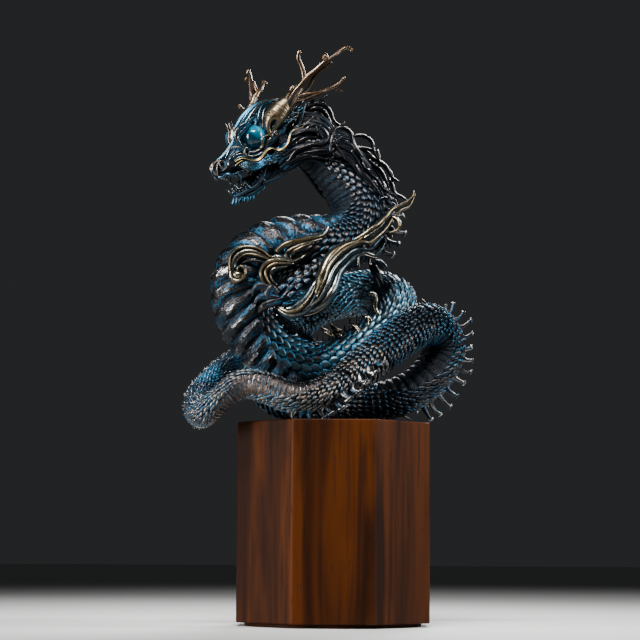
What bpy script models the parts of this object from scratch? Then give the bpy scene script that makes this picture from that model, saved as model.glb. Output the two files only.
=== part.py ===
"""Coiled dragon ornament on an octagonal wooden plinth.

The dragon is one casting: a long scaled body that arches over itself in loops, with a head, two
antlers, a mane, a crest of spines, two forelegs, flame-shaped locks that rise from the near shoulder
and a tufted tail. Two glass eyes are let into the head. The casting stands on a wooden block, and the
block on a thin round foot.

Lengths below are in millimetres and are turned into metres when a mesh is made. The origin is on the
block's axis at the table, +Z is up, and the dragon looks towards -X.
"""

import math

import bmesh
import bpy
import numpy as np

MM = 0.001
GAP = 0.3                      # clearance between two separate pieces

# plinth
PLINTH_ACROSS_FLATS = 100.0
PLINTH_HEIGHT = 103.5
PLINTH_EDGE = 0.7              # bevel on the block's edges
FOOT_DIAMETER = 93.0
FOOT_HEIGHT = 2.0              # the block's underside is this far above the table
PLINTH_TOP = FOOT_HEIGHT + PLINTH_HEIGHT

# body
BODY_SIDES = 11
RIDGE_PITCH = 10.0             # from one belly plate to the next
RIDGE_DEPTH = 0.11             # how far a plate stands out, as a share of the body's radius
BELLY_FLATNESS = 0.06          # how much the belly is pulled in, as a share of the radius

# The body's middle line from the nape to the tail, and there the way its crest points.
BODY_ROUTE = [
    ((-32, -10, 254), (0.1, 0.1, 1.0)),
    ((-18, -4, 256), (0.3, 0.1, 0.9)),
    ((6, 2, 236), (0.8, 0.5, 0.5)),
    ((13, 0, 221), (0.9, 0.4, 0.1)),
    ((9, -6, 206), (0.6, 0.3, -0.7)),
    ((-29, -24, 196), (0.3, 0.4, -0.9)),
    ((-45.5, -26, 184), (0.7, 0.6, -0.5)),
    ((-48, -26, 170), (0.8, 0.5, 0.0)),
    ((-34.5, -19, 145.5), (0.5, 0.7, 0.6)),
    ((-8, -11, 135), (0.0, 0.4, 0.9)),
    ((10, -5, 141), (-0.3, 0.2, 0.9)),
    ((33, 12, 168), (-1.0, -0.3, 0.1)),
    ((13, 44, 182), (0.0, -0.4, -0.9)),
    ((-8, 52, 177), (0.3, -0.6, -0.7)),
    ((-38, 40, 145), (0.9, -0.4, 0.2)),
    ((-36, 22, 126), (0.6, -0.6, 0.5)),
    ((6, -7, 116), (0.0, -0.9, -0.4)),
    ((45.5, -4, 127), (0.6, 0.35, -0.75)),
    ((58, 2, 150), (0.7, 0.7, 0.2)),
    ((51, -6, 158), (0.35, 0.3, 0.9)),
    ((40, -17, 154), (0.1, -0.8, 0.6)),
    ((9, -37, 129), (0.1, -0.5, -0.8)),
    ((-21, -46, 117), (0.0, 0.6, -0.8)),
    ((-46, -45, 123), (-0.4, 0.9, 0.3)),
    ((-67, -30, 109), (-0.9, 0.0, 0.4)),
    ((-71, -16, 115), (-0.9, -0.1, 0.4)),
    ((-67, -4, 125), (-0.6, -0.2, 0.7)),
    ((-41, 19, 152), (-0.5, 0.1, 0.9)),
]
# The body's radius at shares of its length.
BODY_RADIUS = [
    (0.00, 8.5), (0.02, 11.5), (0.05, 13.8), (0.09, 14.8), (0.20, 14.8), (0.28, 13.6),
    (0.40, 12.0), (0.52, 10.6), (0.62, 9.6), (0.67, 11.2), (0.71, 10.8), (0.76, 9.8), (0.79, 9.6),
    (0.84, 8.0),
    (0.88, 7.0), (0.92, 7.8), (0.96, 6.8), (1.00, 3.8),
]
CREST_PITCH = 13.0
CREST_LENGTH = 9.6
CREST_BASE = 2.2
CREST_SUNK = 2.5               # depth of a spine's root in the body
CREST_TO = 0.985
CREST_FROM = 0.14              # the mane covers the crest before this share of the length
CREST_SPREAD = 1.6             # how far spines on the outside of a bend lean out of it
CREST_GROWTH = 1.2             # how much longer those spines are, as a share of the rest

# head, measured along its own forward, side and up directions
HEAD_ORIGIN = (-36.0, -6.0, 259.5)
HEAD_YAW = 28.0                # turned from -X towards -Y, degrees
HEAD_PITCH = 30.0              # nose down, degrees
HEAD_ROLL = -4.0
# forward place, height of the middle, half width, half height
SKULL_SECTIONS = [
    (-17, 0, 8, 8), (-12, 2, 12, 12), (-4, 3, 12.5, 13), (5, 3, 12, 12.5), (12, 1.5, 10.8, 11),
    (17, 0.5, 9.6, 9.5), (21, -1.5, 8.3, 7.5), (27, -3.6, 6.6, 5.6), (33, -4.2, 5.4, 4.8),
    (38, -4.0, 4.6, 4.4), (40, -4.4, 3.0, 3.0),
]
JAW_SECTIONS = [
    (-6, -12, 9, 7), (3, -16.5, 9.5, 5), (12, -17.6, 8, 4), (20, -19, 6.6, 2.8),
    (28, -19.8, 5.0, 2.2), (34, -19.6, 2.6, 2.0),
]
SECTION_SIDES = 12
EYE_PLACE = (12.1, 7.7, 4.3)
EYE_RADIUS = 6.3
BROW = [(24, 5, 3), (19, 7, 9.5), (13.5, 9.5, 12), (7, 11.5, 15.5)]
CHEEK_RIDGE = [(27, 7.5, -5), (17, 10, -7), (9, 12, -5), (0, 13.5, -6), (-8, 14.5, -2)]
# root, tip and root radius of each fang
FANGS = [
    ((28.5, 4.5, -7), (30.2, 6, -16.2), 1.5),
    ((36.5, 2.5, -6), (38.0, 3, -12.0), 1.2),
    ((32.5, 1.5, -19.5), (35.2, 3.4, -13.4), 1.2),
    ((25.5, 3.5, -19.8), (27.7, 6, -14.0), 1.2),
]
BEARD_TIPS = [(35, 0, -25.4), (32, 3.5, -26), (28, 5, -25.5), (24, 6.5, -25)]
BEARD_ROOT_HEIGHT = -20.0

# Tapered branches, locks and limbs: points, then the radius at each end.
ANTLERS = [
    ([(-34, -19, 262), (-29, -20, 272), (-24, -20, 280)], 5.4, 2.6),
    ([(-27, -20, 276), (-20, -19, 285), (-16, -18, 290), (-9, -17, 296), (4, -13, 306),
      (9, -12, 307)], 2.8, 1.2),
    ([(-17, -18, 288), (-17, -20, 294), (-19, -23, 302)], 1.9, 1.1),
    ([(-24, -18, 278), (-19, -15, 280), (-1, -7, 286), (3, -5, 287), (5, -4, 293)], 1.9, 1.0),
    ([(-50, -1, 264), (-49, 1, 274), (-45, 6, 286), (-47, 9, 293), (-47, 12, 301)], 4.8, 1.5),
    ([(-45, 6, 285), (-43, 9, 292), (-40, 11, 294), (-39, 12, 292)], 1.9, 1.1),
]
ANTLER_KNOBS = [(-5, -17, 301), (-23, -20, 283), (-49, 9, 295), (-52, 0, 275)]
KNOB_RADIUS = 2.0
MANE = [
    ([(-28, -9, 267), (-15, -10, 276), (-7, -7, 275), (-1, -4, 269), (5, -2, 261)], 2.8, 1.2),
    ([(-20, -12, 268), (-11, -11, 271), (-4, -10, 266), (-2, -10, 258)], 2.6, 1.3),
    ([(-28, -15, 243), (-20, -17, 251), (-7, -16, 254), (0, -14, 261), (6, -11, 262),
      (11, -8, 257)], 2.4, 1.4),
    ([(-3, -13, 253), (4, -12, 253), (10, -9, 258), (17, -3, 258), (20, 2, 254)], 2.6, 1.3),
    ([(5, -11, 253), (15, -6, 252), (23, 0, 249), (24, 2, 241)], 3.0, 1.4),
    ([(16, -3, 253), (25, 4, 248), (29, 7, 242), (35, 9, 238)], 2.6, 0.9),
    ([(24, 3, 244), (30, 6, 238), (28, 5, 232), (34, 4, 225)], 2.4, 0.9),
    ([(27, 6, 240), (33, 8, 232), (38, 8, 229)], 2.0, 0.8),
    ([(-1, -12, 252), (8, -10, 244), (17, -9, 234), (22, -8, 224)], 3.0, 1.4),
    ([(-18, -13, 264), (-17, -15, 271), (-15, -17, 277)], 1.8, 0.7),
]
# Locks that lie on the neck's far side: shares of the body's length, then angles from the crest.
FAR_MANE = [((0.00, 0.10), (-20, -35)), ((0.00, 0.12), (-45, -65)), ((0.01, 0.11), (-75, -95)),
            ((0.00, 0.08), (10, 25))]
FAR_MANE_RADII = (3.4, 1.4)
FLAMES = [
    ([(-29, -40, 168), (-22, -39, 163), (-13, -41, 168), (-6, -41, 175), (-3, -37, 184), (3, -30, 194),
      (14, -22, 201), (24, -16, 209), (32, -13, 218), (41, -9, 228)], 3.6, 0.9),
    ([(-28, -39, 167), (-17, -38, 163), (-7, -39, 167), (-2, -39, 174), (2, -35, 183), (9, -27, 192),
      (19, -20, 199), (27, -14, 207), (33, -10, 219)], 3.4, 0.9),
    ([(1, -34, 180), (8, -25, 189), (17, -17, 195), (25, -10, 197)], 2.2, 0.8),
    ([(-46, -42, 184), (-47, -43, 180), (-51, -43, 180), (-53, -43, 186), (-50, -43, 192),
      (-45, -42, 195), (-37, -41, 192), (-29, -40, 189)], 2.2, 2.6),
    ([(-34, -40, 189), (-28, -40, 191), (-18, -39, 197), (-10, -36, 200), (-5, -33, 205),
      (-2, -30, 210)], 2.6, 0.8),
    ([(-15, -37, 188), (-25, -40, 187), (-34, -41, 184), (-36, -41, 179), (-28, -40, 173)],
     1.4, 2.2),
]
NEAR_LEG = ([(10, -14, 194), (-6, -32, 186), (-19, -38, 176), (-30, -41, 168)], 6.0, 4.2)
FAR_LEG = ([(-6, -4, 196), (-20, 0, 190), (-32, 2, 180), (-36, 2, 169)], 5.5, 4.2)
CLAW_REACH = 12.0
CLAW_RADIUS = 1.8
CLAWS = 4
TAIL_TUFT = [
    ([(-44, 16, 149), (-44, 22, 158), (-38, 26, 165)], 3.4, 0.8),
    ([(-43, 17, 150), (-49, 20, 158), (-49, 23, 167)], 3.0, 0.8),
    ([(-42, 19, 151), (-34, 22, 156), (-27, 22, 160)], 2.8, 0.8),
]
LOCK_SIDES = 6
LOCK_STEP = 6.0
KEPT_TRIANGLES = 0.66         # share of the casting's triangles that stay, once its skins are joined


def natural_spline(knots, values, at):
    """Natural cubic spline: second derivatives solved from a tridiagonal system, zero at the ends."""
    knots = np.asarray(knots, float)
    values = np.asarray(values, float)
    steps = np.diff(knots)
    count = len(knots)
    matrix = np.eye(count)
    right = np.zeros_like(values)
    for i in range(1, count - 1):
        matrix[i, i - 1:i + 2] = steps[i - 1], 2 * (steps[i - 1] + steps[i]), steps[i]
        right[i] = 6 * ((values[i + 1] - values[i]) / steps[i] - (values[i] - values[i - 1]) / steps[i - 1])
    bend = np.linalg.solve(matrix, right)
    i = np.clip(np.searchsorted(knots, at) - 1, 0, count - 2)
    step = steps[i][:, None]
    before = (at - knots[i])[:, None]
    after = (knots[i + 1] - at)[:, None]
    return ((bend[i] * after ** 3 + bend[i + 1] * before ** 3) / (6 * step)
            + (values[i] / step - bend[i] * step / 6) * after
            + (values[i + 1] / step - bend[i + 1] * step / 6) * before)


def unit(vectors):
    return vectors / np.linalg.norm(vectors, axis=-1, keepdims=True)


def smooth_path(points, step):
    """Points about `step` apart along a spline through the given ones, with their tangents."""
    points = np.asarray(points, float)
    knots = np.concatenate([[0], np.cumsum(np.linalg.norm(np.diff(points, axis=0), axis=1))])
    at = np.linspace(0, knots[-1], max(3, round(knots[-1] / step) + 1))
    path = natural_spline(knots, points, at)
    return path, unit(np.gradient(path, axis=0)), at, knots


def make_mesh(name, rings):
    """A closed skin over a row of equal rings, with a fan of triangles over each end."""
    count, sides = rings.shape[:2]
    points = np.concatenate([rings.reshape(-1, 3), [rings[0].mean(0)], [rings[-1].mean(0)]])
    faces = []
    for i in range(count - 1):
        for j in range(sides):
            k = (j + 1) % sides
            faces.append((i * sides + j, i * sides + k, (i + 1) * sides + k, (i + 1) * sides + j))
    first, last, end = count * sides, count * sides + 1, (count - 1) * sides
    for j in range(sides):
        k = (j + 1) % sides
        faces.append((first, k, j))
        faces.append((last, end + j, end + k))
    mesh = bpy.data.meshes.new(name)
    mesh.from_pydata((points * MM).tolist(), [], faces)
    turn_outwards(mesh)
    return mesh


def turn_outwards(mesh):
    work = bmesh.new()
    work.from_mesh(mesh)
    bmesh.ops.recalc_face_normals(work, faces=work.faces)
    bmesh.ops.triangulate(work, faces=work.faces)
    work.to_mesh(mesh)
    work.free()


def join_meshes(name, meshes):
    """One mesh that holds several closed skins."""
    work = bmesh.new()
    for mesh in meshes:
        work.from_mesh(mesh)
        bpy.data.meshes.remove(mesh)
    joined = bpy.data.meshes.new(name)
    work.to_mesh(joined)
    work.free()
    return joined


def ring_frames(tangents, hint=(0.0, 0.0, 1.0)):
    """Side directions carried along a path without twisting."""
    side = np.cross(tangents[0], hint)
    if np.linalg.norm(side) < 0.2:
        side = np.cross(tangents[0], (0.0, 1.0, 0.0))
    sides = []
    for tangent in tangents:
        side = unit(side - np.dot(side, tangent) * tangent)
        sides.append(side)
    sides = np.array(sides)
    return sides, np.cross(tangents, sides)


def tapered_lock(points, root_radius, tip_radius, sides=LOCK_SIDES):
    """A branch, limb or lock: a round tube that narrows evenly from its root to its tip."""
    path, tangents, at, _ = smooth_path(points, LOCK_STEP)
    share = at / at[-1]
    radius = root_radius + (tip_radius - root_radius) * share
    side, up = ring_frames(tangents)
    angle = np.arange(sides) * 2 * math.pi / sides
    rings = path[:, None] + radius[:, None, None] * (
        np.cos(angle)[None, :, None] * side[:, None] + np.sin(angle)[None, :, None] * up[:, None])
    return make_mesh("lock", rings)


def spike(root, tip, radius, sides=4):
    """A cone from a sunk root to a blunt tip."""
    root = np.asarray(root, float)
    tip = np.asarray(tip, float)
    along = unit(tip - root)
    side, up = ring_frames(np.array([along]))
    angle = np.arange(sides) * 2 * math.pi / sides
    circle = np.cos(angle)[:, None] * side[0] + np.sin(angle)[:, None] * up[0]
    return make_mesh("spike", np.array([root + radius * circle, tip + 0.25 * radius * circle]))


def body_frame(step):
    """Middle line, tangent, crest direction, side direction, radius and distance along the body."""
    points = [point for point, _ in BODY_ROUTE]
    crest_keys = unit(np.array([crest for _, crest in BODY_ROUTE], float))
    path, tangents, at, knots = smooth_path(points, step)
    crest = natural_spline(knots, crest_keys, at)
    crest = unit(crest - np.sum(crest * tangents, axis=1, keepdims=True) * tangents)
    shares, radii = zip(*BODY_RADIUS)
    radius = np.interp(at / at[-1], shares, radii)
    return path, tangents, crest, np.cross(tangents, crest), radius, at


def body_mesh():
    """The body's skin. Every second ring stands out on the belly side, which makes its plates."""
    path, _, crest, side, radius, _ = body_frame(RIDGE_PITCH / 2)
    angle = (np.arange(BODY_SIDES) + 0.5) * 2 * math.pi / BODY_SIDES
    belly = np.clip(-np.cos(angle), 0, 1)[None]
    ridge = np.where(np.arange(len(path)) % 2 == 0, RIDGE_DEPTH, 0.0)[:, None]
    reach = radius[:, None] * (1 + belly * (ridge - BELLY_FLATNESS))
    rings = path[:, None] + reach[..., None] * (
        np.cos(angle)[None, :, None] * crest[:, None] + np.sin(angle)[None, :, None] * side[:, None])
    return make_mesh("body", rings)


def crest_spines():
    """Spines along the back. They lean towards the tail and, outside a bend, away from its middle."""
    path, tangents, crest, _, radius, at = body_frame(CREST_PITCH)
    bend = np.gradient(tangents, axis=0) / CREST_PITCH * radius[:, None]
    spines = []
    for i, share in enumerate(at / at[-1]):
        if share < CREST_FROM or share > CREST_TO:
            continue
        outside = max(0.0, -float(np.dot(bend[i], crest[i])))
        way = unit(crest[i] - CREST_SPREAD * outside * unit(bend[i]) + 0.5 * tangents[i])
        length = CREST_LENGTH * (0.55 + 0.45 * radius[i] / radius.max()) * (1 + CREST_GROWTH * outside)
        root = path[i] + crest[i] * (radius[i] - CREST_SUNK)
        tip = root + way * (length + CREST_SUNK)
        if tip[2] > PLINTH_TOP + 1 or abs(tip[0]) > PLINTH_ACROSS_FLATS / 2 + 2:
            spines.append(spike(root, tip, CREST_BASE))
    return spines


def far_mane():
    """Locks that lie half sunk in the neck, each running back while it turns round the body."""
    path, _, crest, side, radius, at = body_frame(2.0)
    locks = []
    for shares, angles in FAR_MANE:
        along = np.linspace(*shares, 5)
        turn = np.radians(np.linspace(*angles, 5))
        near = np.searchsorted(at / at[-1], along)
        out = np.cos(turn)[:, None] * crest[near] + np.sin(turn)[:, None] * side[near]
        locks.append(tapered_lock(path[near] + out * radius[near, None], *FAR_MANE_RADII))
    return locks


def head_axes():
    """The head's forward, side and up directions as unit vectors."""
    yaw, pitch, roll = (math.radians(a) for a in (HEAD_YAW, HEAD_PITCH, HEAD_ROLL))
    forward = np.array([-math.cos(yaw) * math.cos(pitch), -math.sin(yaw) * math.cos(pitch), -math.sin(pitch)])
    up = unit(np.array([0.0, 0.0, 1.0]) - forward * forward[2])
    side = np.cross(up, forward)
    return forward, math.cos(roll) * side + math.sin(roll) * up, math.cos(roll) * up - math.sin(roll) * side


def head_point(place, mirror=1):
    forward, side, up = head_axes()
    return np.array(HEAD_ORIGIN) + place[0] * forward + mirror * place[1] * side + place[2] * up


def head_loft(sections):
    """A skin over rounded sections that stand square to the head's forward direction."""
    forward, side, up = head_axes()
    angle = (np.arange(SECTION_SIDES) + 0.5) * 2 * math.pi / SECTION_SIDES
    across = np.sign(np.cos(angle)) * np.abs(np.cos(angle)) ** 0.85
    high = np.sign(np.sin(angle)) * np.abs(np.sin(angle)) ** 0.85
    rings = []
    for place, middle, half_width, half_height in sections:
        centre = np.array(HEAD_ORIGIN) + place * forward + middle * up
        rings.append(centre + half_width * across[:, None] * side + half_height * high[:, None] * up)
    return make_mesh("head", np.array(rings))


def head_meshes():
    """Skull with the upper jaw, lower jaw, brows, cheek ridges, fangs and beard."""
    meshes = [head_loft(SKULL_SECTIONS), head_loft(JAW_SECTIONS)]
    for mirror in (1, -1):
        meshes.append(tapered_lock([head_point(p, mirror) for p in BROW], 2.2, 1.0))
        meshes.append(tapered_lock([head_point(p, mirror) for p in CHEEK_RIDGE], 1.6, 1.6))
        for root, tip, radius in FANGS:
            meshes.append(spike(head_point(root, mirror), head_point(tip, mirror), radius))
        for tip in BEARD_TIPS:
            if mirror == 1 or tip[1] > 0:
                root = (tip[0] - 2, tip[1] * 0.7, BEARD_ROOT_HEIGHT)
                meshes.append(spike(head_point(root, mirror), head_point(tip, mirror), 2.4))
    return meshes


def paw_meshes(leg):
    """A leg with a fan of claws at its end, bent towards the body."""
    points, root_radius, tip_radius = leg
    meshes = [tapered_lock(points, root_radius, tip_radius, 9)]
    end = np.array(points[-1], float)
    along = unit(end - np.array(points[-2], float))
    across = unit(np.cross(along, (0.0, -1.0, 0.3)))
    for i in range(CLAWS):
        lean = (i - (CLAWS - 1) / 2) * 0.55
        out = unit(along + lean * across)
        knuckle = end + out * CLAW_REACH * 0.55 + np.array([0, -1.0, 0.8])
        tip = end + out * CLAW_REACH + np.array([0, 1.0, -3.5])
        meshes.append(tapered_lock([end - along * 2, knuckle, tip], CLAW_RADIUS, 0.7, 6))
    return meshes


def ball_mesh(name, centre, radius, segments=16, rings=10):
    work = bmesh.new()
    bmesh.ops.create_uvsphere(work, u_segments=segments, v_segments=rings, radius=radius * MM)
    bmesh.ops.translate(work, verts=work.verts, vec=[c * MM for c in centre])
    bmesh.ops.triangulate(work, faces=work.faces)
    mesh = bpy.data.meshes.new(name)
    work.to_mesh(mesh)
    work.free()
    return mesh


def prism_mesh(name, sides, radius, height, turn=0.0):
    """An upright prism, or a short cylinder, whose underside is at z = 0."""
    work = bmesh.new()
    bmesh.ops.create_cone(work, cap_ends=True, segments=sides, radius1=radius * MM, radius2=radius * MM,
                          depth=height * MM)
    turned = np.array([[math.cos(turn), -math.sin(turn), 0], [math.sin(turn), math.cos(turn), 0], [0, 0, 1]])
    for vertex in work.verts:
        vertex.co = turned @ np.array(vertex.co) + np.array([0, 0, height * MM / 2])
    mesh = bpy.data.meshes.new(name)
    work.to_mesh(mesh)
    work.free()
    return mesh


def make_material(name, colour, roughness, metallic=0.0, transmission=0.0):
    material = bpy.data.materials.new(name)
    material.use_nodes = True
    shader = material.node_tree.nodes["Principled BSDF"]
    shader.inputs["Base Color"].default_value = (*colour, 1.0)
    shader.inputs["Roughness"].default_value = roughness
    shader.inputs["Metallic"].default_value = metallic
    shader.inputs["Transmission Weight"].default_value = transmission
    material.diffuse_color = (*colour, 1.0)
    return material


def add_piece(name, mesh, material, collection):
    piece = bpy.data.objects.new(name, mesh)
    collection.objects.link(piece)
    mesh.materials.clear()
    mesh.materials.append(material)
    return piece


def add_cutter(name, mesh, collection):
    cutter = bpy.data.objects.new(name, mesh)
    collection.objects.link(cutter)
    cutter.hide_render = True
    cutter.display_type = "WIRE"
    return cutter


def add_boolean(piece, operation, cutter, overlapping=False):
    modifier = piece.modifiers.new(cutter.name, "BOOLEAN")
    modifier.operation = operation
    modifier.solver = "EXACT"
    modifier.use_self = overlapping
    modifier.object = cutter


def add_plinth(collection):
    wood = make_material("oiled_walnut", (0.16, 0.055, 0.028), 0.38)
    corner_radius = PLINTH_ACROSS_FLATS / 2 / math.cos(math.pi / 8)
    block = add_piece("plinth", prism_mesh("plinth", 8, corner_radius, PLINTH_HEIGHT, math.pi / 8), wood,
                      collection)
    block.location.z = FOOT_HEIGHT * MM
    edge = block.modifiers.new("edge", "BEVEL")
    edge.width = PLINTH_EDGE * MM
    edge.segments = 2
    edge.limit_method = "ANGLE"
    foot_wood = make_material("foot_wood", (0.09, 0.03, 0.02), 0.6)
    add_piece("plinth_foot", prism_mesh("plinth_foot", 64, FOOT_DIAMETER / 2, FOOT_HEIGHT - GAP), foot_wood,
              collection)


def add_dragon(collection, cutters):
    bronze = make_material("patinated_bronze", (0.10, 0.115, 0.125), 0.38, metallic=0.9)
    dragon = add_piece("dragon", body_mesh(), bronze, collection)
    details = head_meshes() + crest_spines() + far_mane() + paw_meshes(NEAR_LEG) + paw_meshes(FAR_LEG)
    for points, root_radius, tip_radius in ANTLERS + MANE + FLAMES + TAIL_TUFT:
        details.append(tapered_lock(points, root_radius, tip_radius))
    for centre in ANTLER_KNOBS:
        details.append(ball_mesh("knob", centre, KNOB_RADIUS, 6, 4))
    detail = add_cutter("dragon_details", join_meshes("dragon_details", details), cutters)
    add_boolean(dragon, "UNION", detail, overlapping=True)
    sockets = [ball_mesh("socket", head_point(EYE_PLACE, m), EYE_RADIUS + GAP) for m in (1, -1)]
    add_boolean(dragon, "DIFFERENCE", add_cutter("eye_sockets", join_meshes("eye_sockets", sockets), cutters))
    corner_radius = (PLINTH_ACROSS_FLATS / 2 + GAP) / math.cos(math.pi / 8)
    rest = add_cutter("plinth_rest", prism_mesh("plinth_rest", 8, corner_radius, PLINTH_TOP + GAP, math.pi / 8),
                      cutters)
    add_boolean(dragon, "DIFFERENCE", rest)
    thin = dragon.modifiers.new("thin", "DECIMATE")
    thin.ratio = KEPT_TRIANGLES


def add_eyes(collection):
    glass = make_material("teal_glass", (0.02, 0.30, 0.36), 0.05, transmission=0.6)
    for name, mirror in (("eye_left", 1), ("eye_right", -1)):
        add_piece(name, ball_mesh(name, head_point(EYE_PLACE, mirror), EYE_RADIUS), glass, collection)


def main():
    for old in list(bpy.data.objects):
        bpy.data.objects.remove(old)
    collection = bpy.data.collections.new("dragon_sculpture")
    cutters = bpy.data.collections.new("cutters")
    bpy.context.scene.collection.children.link(collection)
    bpy.context.scene.collection.children.link(cutters)
    add_plinth(collection)
    add_dragon(collection, cutters)
    add_eyes(collection)


main()
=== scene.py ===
"""Looks of a coiled dragon ornament on an octagonal walnut plinth.

An add-on that is run as a script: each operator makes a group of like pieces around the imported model.
Lengths are millimetres until a mesh is made. The dragon looks towards -X and its front faces -Y.
"""

import math

import bmesh
import bpy
import numpy as np
from mathutils import Matrix, Vector


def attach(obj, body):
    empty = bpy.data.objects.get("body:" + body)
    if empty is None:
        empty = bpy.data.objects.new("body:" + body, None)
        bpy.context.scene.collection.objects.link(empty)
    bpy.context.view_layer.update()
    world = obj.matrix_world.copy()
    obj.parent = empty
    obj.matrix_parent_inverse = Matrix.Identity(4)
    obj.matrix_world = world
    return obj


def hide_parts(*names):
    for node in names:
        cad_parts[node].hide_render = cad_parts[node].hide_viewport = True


bl_info = {
    "name": "Coiled Dragon Ornament",
    "version": (1, 0, 0),
    "blender": (4, 5, 0),
    "location": "View3D > Sidebar > Dragon",
    "description": "Scales, belly plates, head, mane, glass eyes and walnut plinth of a coiled dragon",
    "category": "Mesh",
}

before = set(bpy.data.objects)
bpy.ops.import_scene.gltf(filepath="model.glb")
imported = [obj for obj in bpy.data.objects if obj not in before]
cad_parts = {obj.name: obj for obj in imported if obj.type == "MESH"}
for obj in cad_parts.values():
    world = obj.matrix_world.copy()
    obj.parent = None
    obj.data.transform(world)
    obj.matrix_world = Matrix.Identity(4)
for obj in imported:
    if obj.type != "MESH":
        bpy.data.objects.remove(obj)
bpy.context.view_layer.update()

MM = 0.001

# The body's middle line from the nape to the tail, and there the way its crest points.
BODY_ROUTE = [
    ((-32, -10, 254), (0.1, 0.1, 1)), ((-18, -4, 256), (0.3, 0.1, 0.9)), ((6, 2, 236), (0.8, 0.5, 0.5)),
    ((13, 0, 221), (0.9, 0.4, 0.1)), ((9, -6, 206), (0.6, -0.1, -0.75)),
    ((-29, -24, 196), (0.3, 0.4, -0.9)), ((-45.5, -26, 184), (0.6, 0.65, -0.5)),
    ((-48, -26, 170), (0.65, 0.75, 0)), ((-34.5, -19, 145.5), (0.42, 0.55, 0.72)),
    ((-8, -11, 135), (0.1, 0.3, 0.95)), ((10, -5, 141), (-0.3, 0.2, 0.9)),
    ((33, 12, 168), (-1, -0.3, 0.1)), ((13, 44, 182), (0, -0.4, -0.9)), ((-8, 52, 177), (0.3, -0.6, -0.7)),
    ((-38, 40, 145), (0.9, -0.4, 0.2)), ((-36, 22, 126), (0.6, -0.6, 0.5)),
    ((6, -7, 116), (0, -0.9, -0.4)), ((45.5, -4, 127), (0.6, 0.35, -0.75)),
    ((58, 2, 150), (0.7, 0.7, 0.2)), ((51, -6, 158), (0.35, 0.3, 0.9)), ((40, -17, 154), (0.1, -0.8, 0.6)),
    ((9, -37, 129), (0.1, -0.5, -0.8)), ((-21, -46, 117), (0, 0.6, -0.8)),
    ((-46, -45, 123), (-0.4, 0.9, 0.3)), ((-67, -30, 109), (-0.9, 0, 0.4)),
    ((-71, -16, 115), (-0.9, -0.1, 0.4)), ((-67, -4, 125), (-0.6, -0.2, 0.7)),
    ((-41, 19, 152), (-0.5, 0.1, 0.9)),
]
# Each table below gives a value at shares of the body's length.
BODY_RADIUS = [
    (0, 8.5), (0.02, 11.5), (0.05, 13.8), (0.09, 14.8), (0.2, 14.8), (0.28, 13.6), (0.4, 12),
    (0.52, 10.6), (0.62, 9.6), (0.67, 11.2), (0.71, 10.8), (0.76, 9.8), (0.79, 9.6), (0.84, 8), (0.88, 7),
    (0.92, 7.8), (0.96, 6.8), (1, 3.8)
]
BELLY_PITCH = [
    (0, 4.3), (0.08, 4.6), (0.1, 6.5), (0.12, 8), (0.17, 7.4), (0.19, 6.8), (0.28, 7), (0.31, 6),
    (0.34, 5), (0.54, 5), (0.6, 4.4), (0.73, 4.2), (0.77, 2.6), (0.8, 2.1), (1, 1.9)
]
BELLY_HEIGHT = [
    (0, 1), (0.09, 1.5), (0.12, 3), (0.16, 3.6), (0.2, 4), (0.27, 3.6), (0.32, 1.2), (0.54, 0.9),
    (0.66, 1.2), (0.73, 1.1), (0.78, 0.45), (0.88, 0.4), (1, 0.3)
]
BELLY_HALF_ANGLE = [
    (0, 62), (0.08, 66), (0.1, 56), (0.12, 60), (0.14, 74), (0.19, 84), (0.206, 82), (0.225, 73),
    (0.235, 67), (0.252, 52), (0.272, 38), (0.31, 36), (0.35, 18), (0.44, 18), (0.5, 58), (0.6, 70),
    (0.625, 100), (0.665, 100), (0.7, 80), (0.72, 78), (0.78, 60), (0.86, 74), (0.92, 60), (1, 48)
]
BELLY_SLANT = [
    (0, 0.25), (0.09, 0.2), (0.12, -0.3), (0.16, -0.4), (0.187, -0.5), (0.206, -0.7), (0.225, -0.6),
    (0.243, -0.25), (0.27, 0), (1, 0)
]
# Painted shade: a factor on the belly's relief, so its colour darkens under the neck, inside the ring and
# inside the right-hand loop.
BELLY_PAINTED_SHADE = [
    (0, 0.15), (0.09, 0.25), (0.12, 0.9), (0.14, 1), (0.3, 1), (0.34, 0.6), (0.55, 0.6), (0.6, 0.12),
    (0.69, 0.12), (0.73, 1), (1, 1)
]
BELLY_ROUGHNESS = [
    (0, 0.12), (0.12, 0.2), (0.17, 0.3), (0.2, 0.6), (0.29, 0.6), (0.33, 0.2), (0.76, 0.12), (0.8, 0.1),
    (1, 0.1)
]
SCALE_ALONG = [
    (0, 2.6), (0.03, 2.8), (0.06, 3.8), (0.2, 4.2), (0.25, 5), (0.32, 5), (0.345, 3.2), (0.42, 3),
    (0.5, 3.6), (0.6, 3.2), (0.68, 2.9), (0.76, 2.8), (0.84, 2.4), (0.92, 2.1), (1, 1.8)
]
SCALE_ACROSS = [
    (0, 2.6), (0.03, 2.8), (0.06, 4), (0.2, 4.2), (0.26, 4.8), (0.32, 4.4), (0.345, 2.8), (0.42, 2.8),
    (0.5, 3.4), (0.6, 2.8), (0.68, 2.1), (0.76, 2.3), (0.84, 2.1), (0.92, 2), (1, 1.8)
]
SCALE_HEIGHT = [
    (0, 0.8), (0.2, 0.9), (0.26, 0.7), (0.32, 0.8), (0.35, 1.1), (0.5, 1), (0.68, 1.2), (0.8, 1),
    (0.88, 0.8), (1, 0.7)
]
SCALE_LIFT = [
    (0, 0.7), (0.2, 0.8), (0.26, 0.5), (0.32, 0.6), (0.35, 1.2), (0.5, 0.8), (0.7, 1), (0.8, 1),
    (0.88, 0.5), (1, 0.4)
]
SCALE_SHADE = [(0, 1), (0.85, 1), (0.89, 0.74), (0.93, 0.58), (1, 0.54)]
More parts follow.
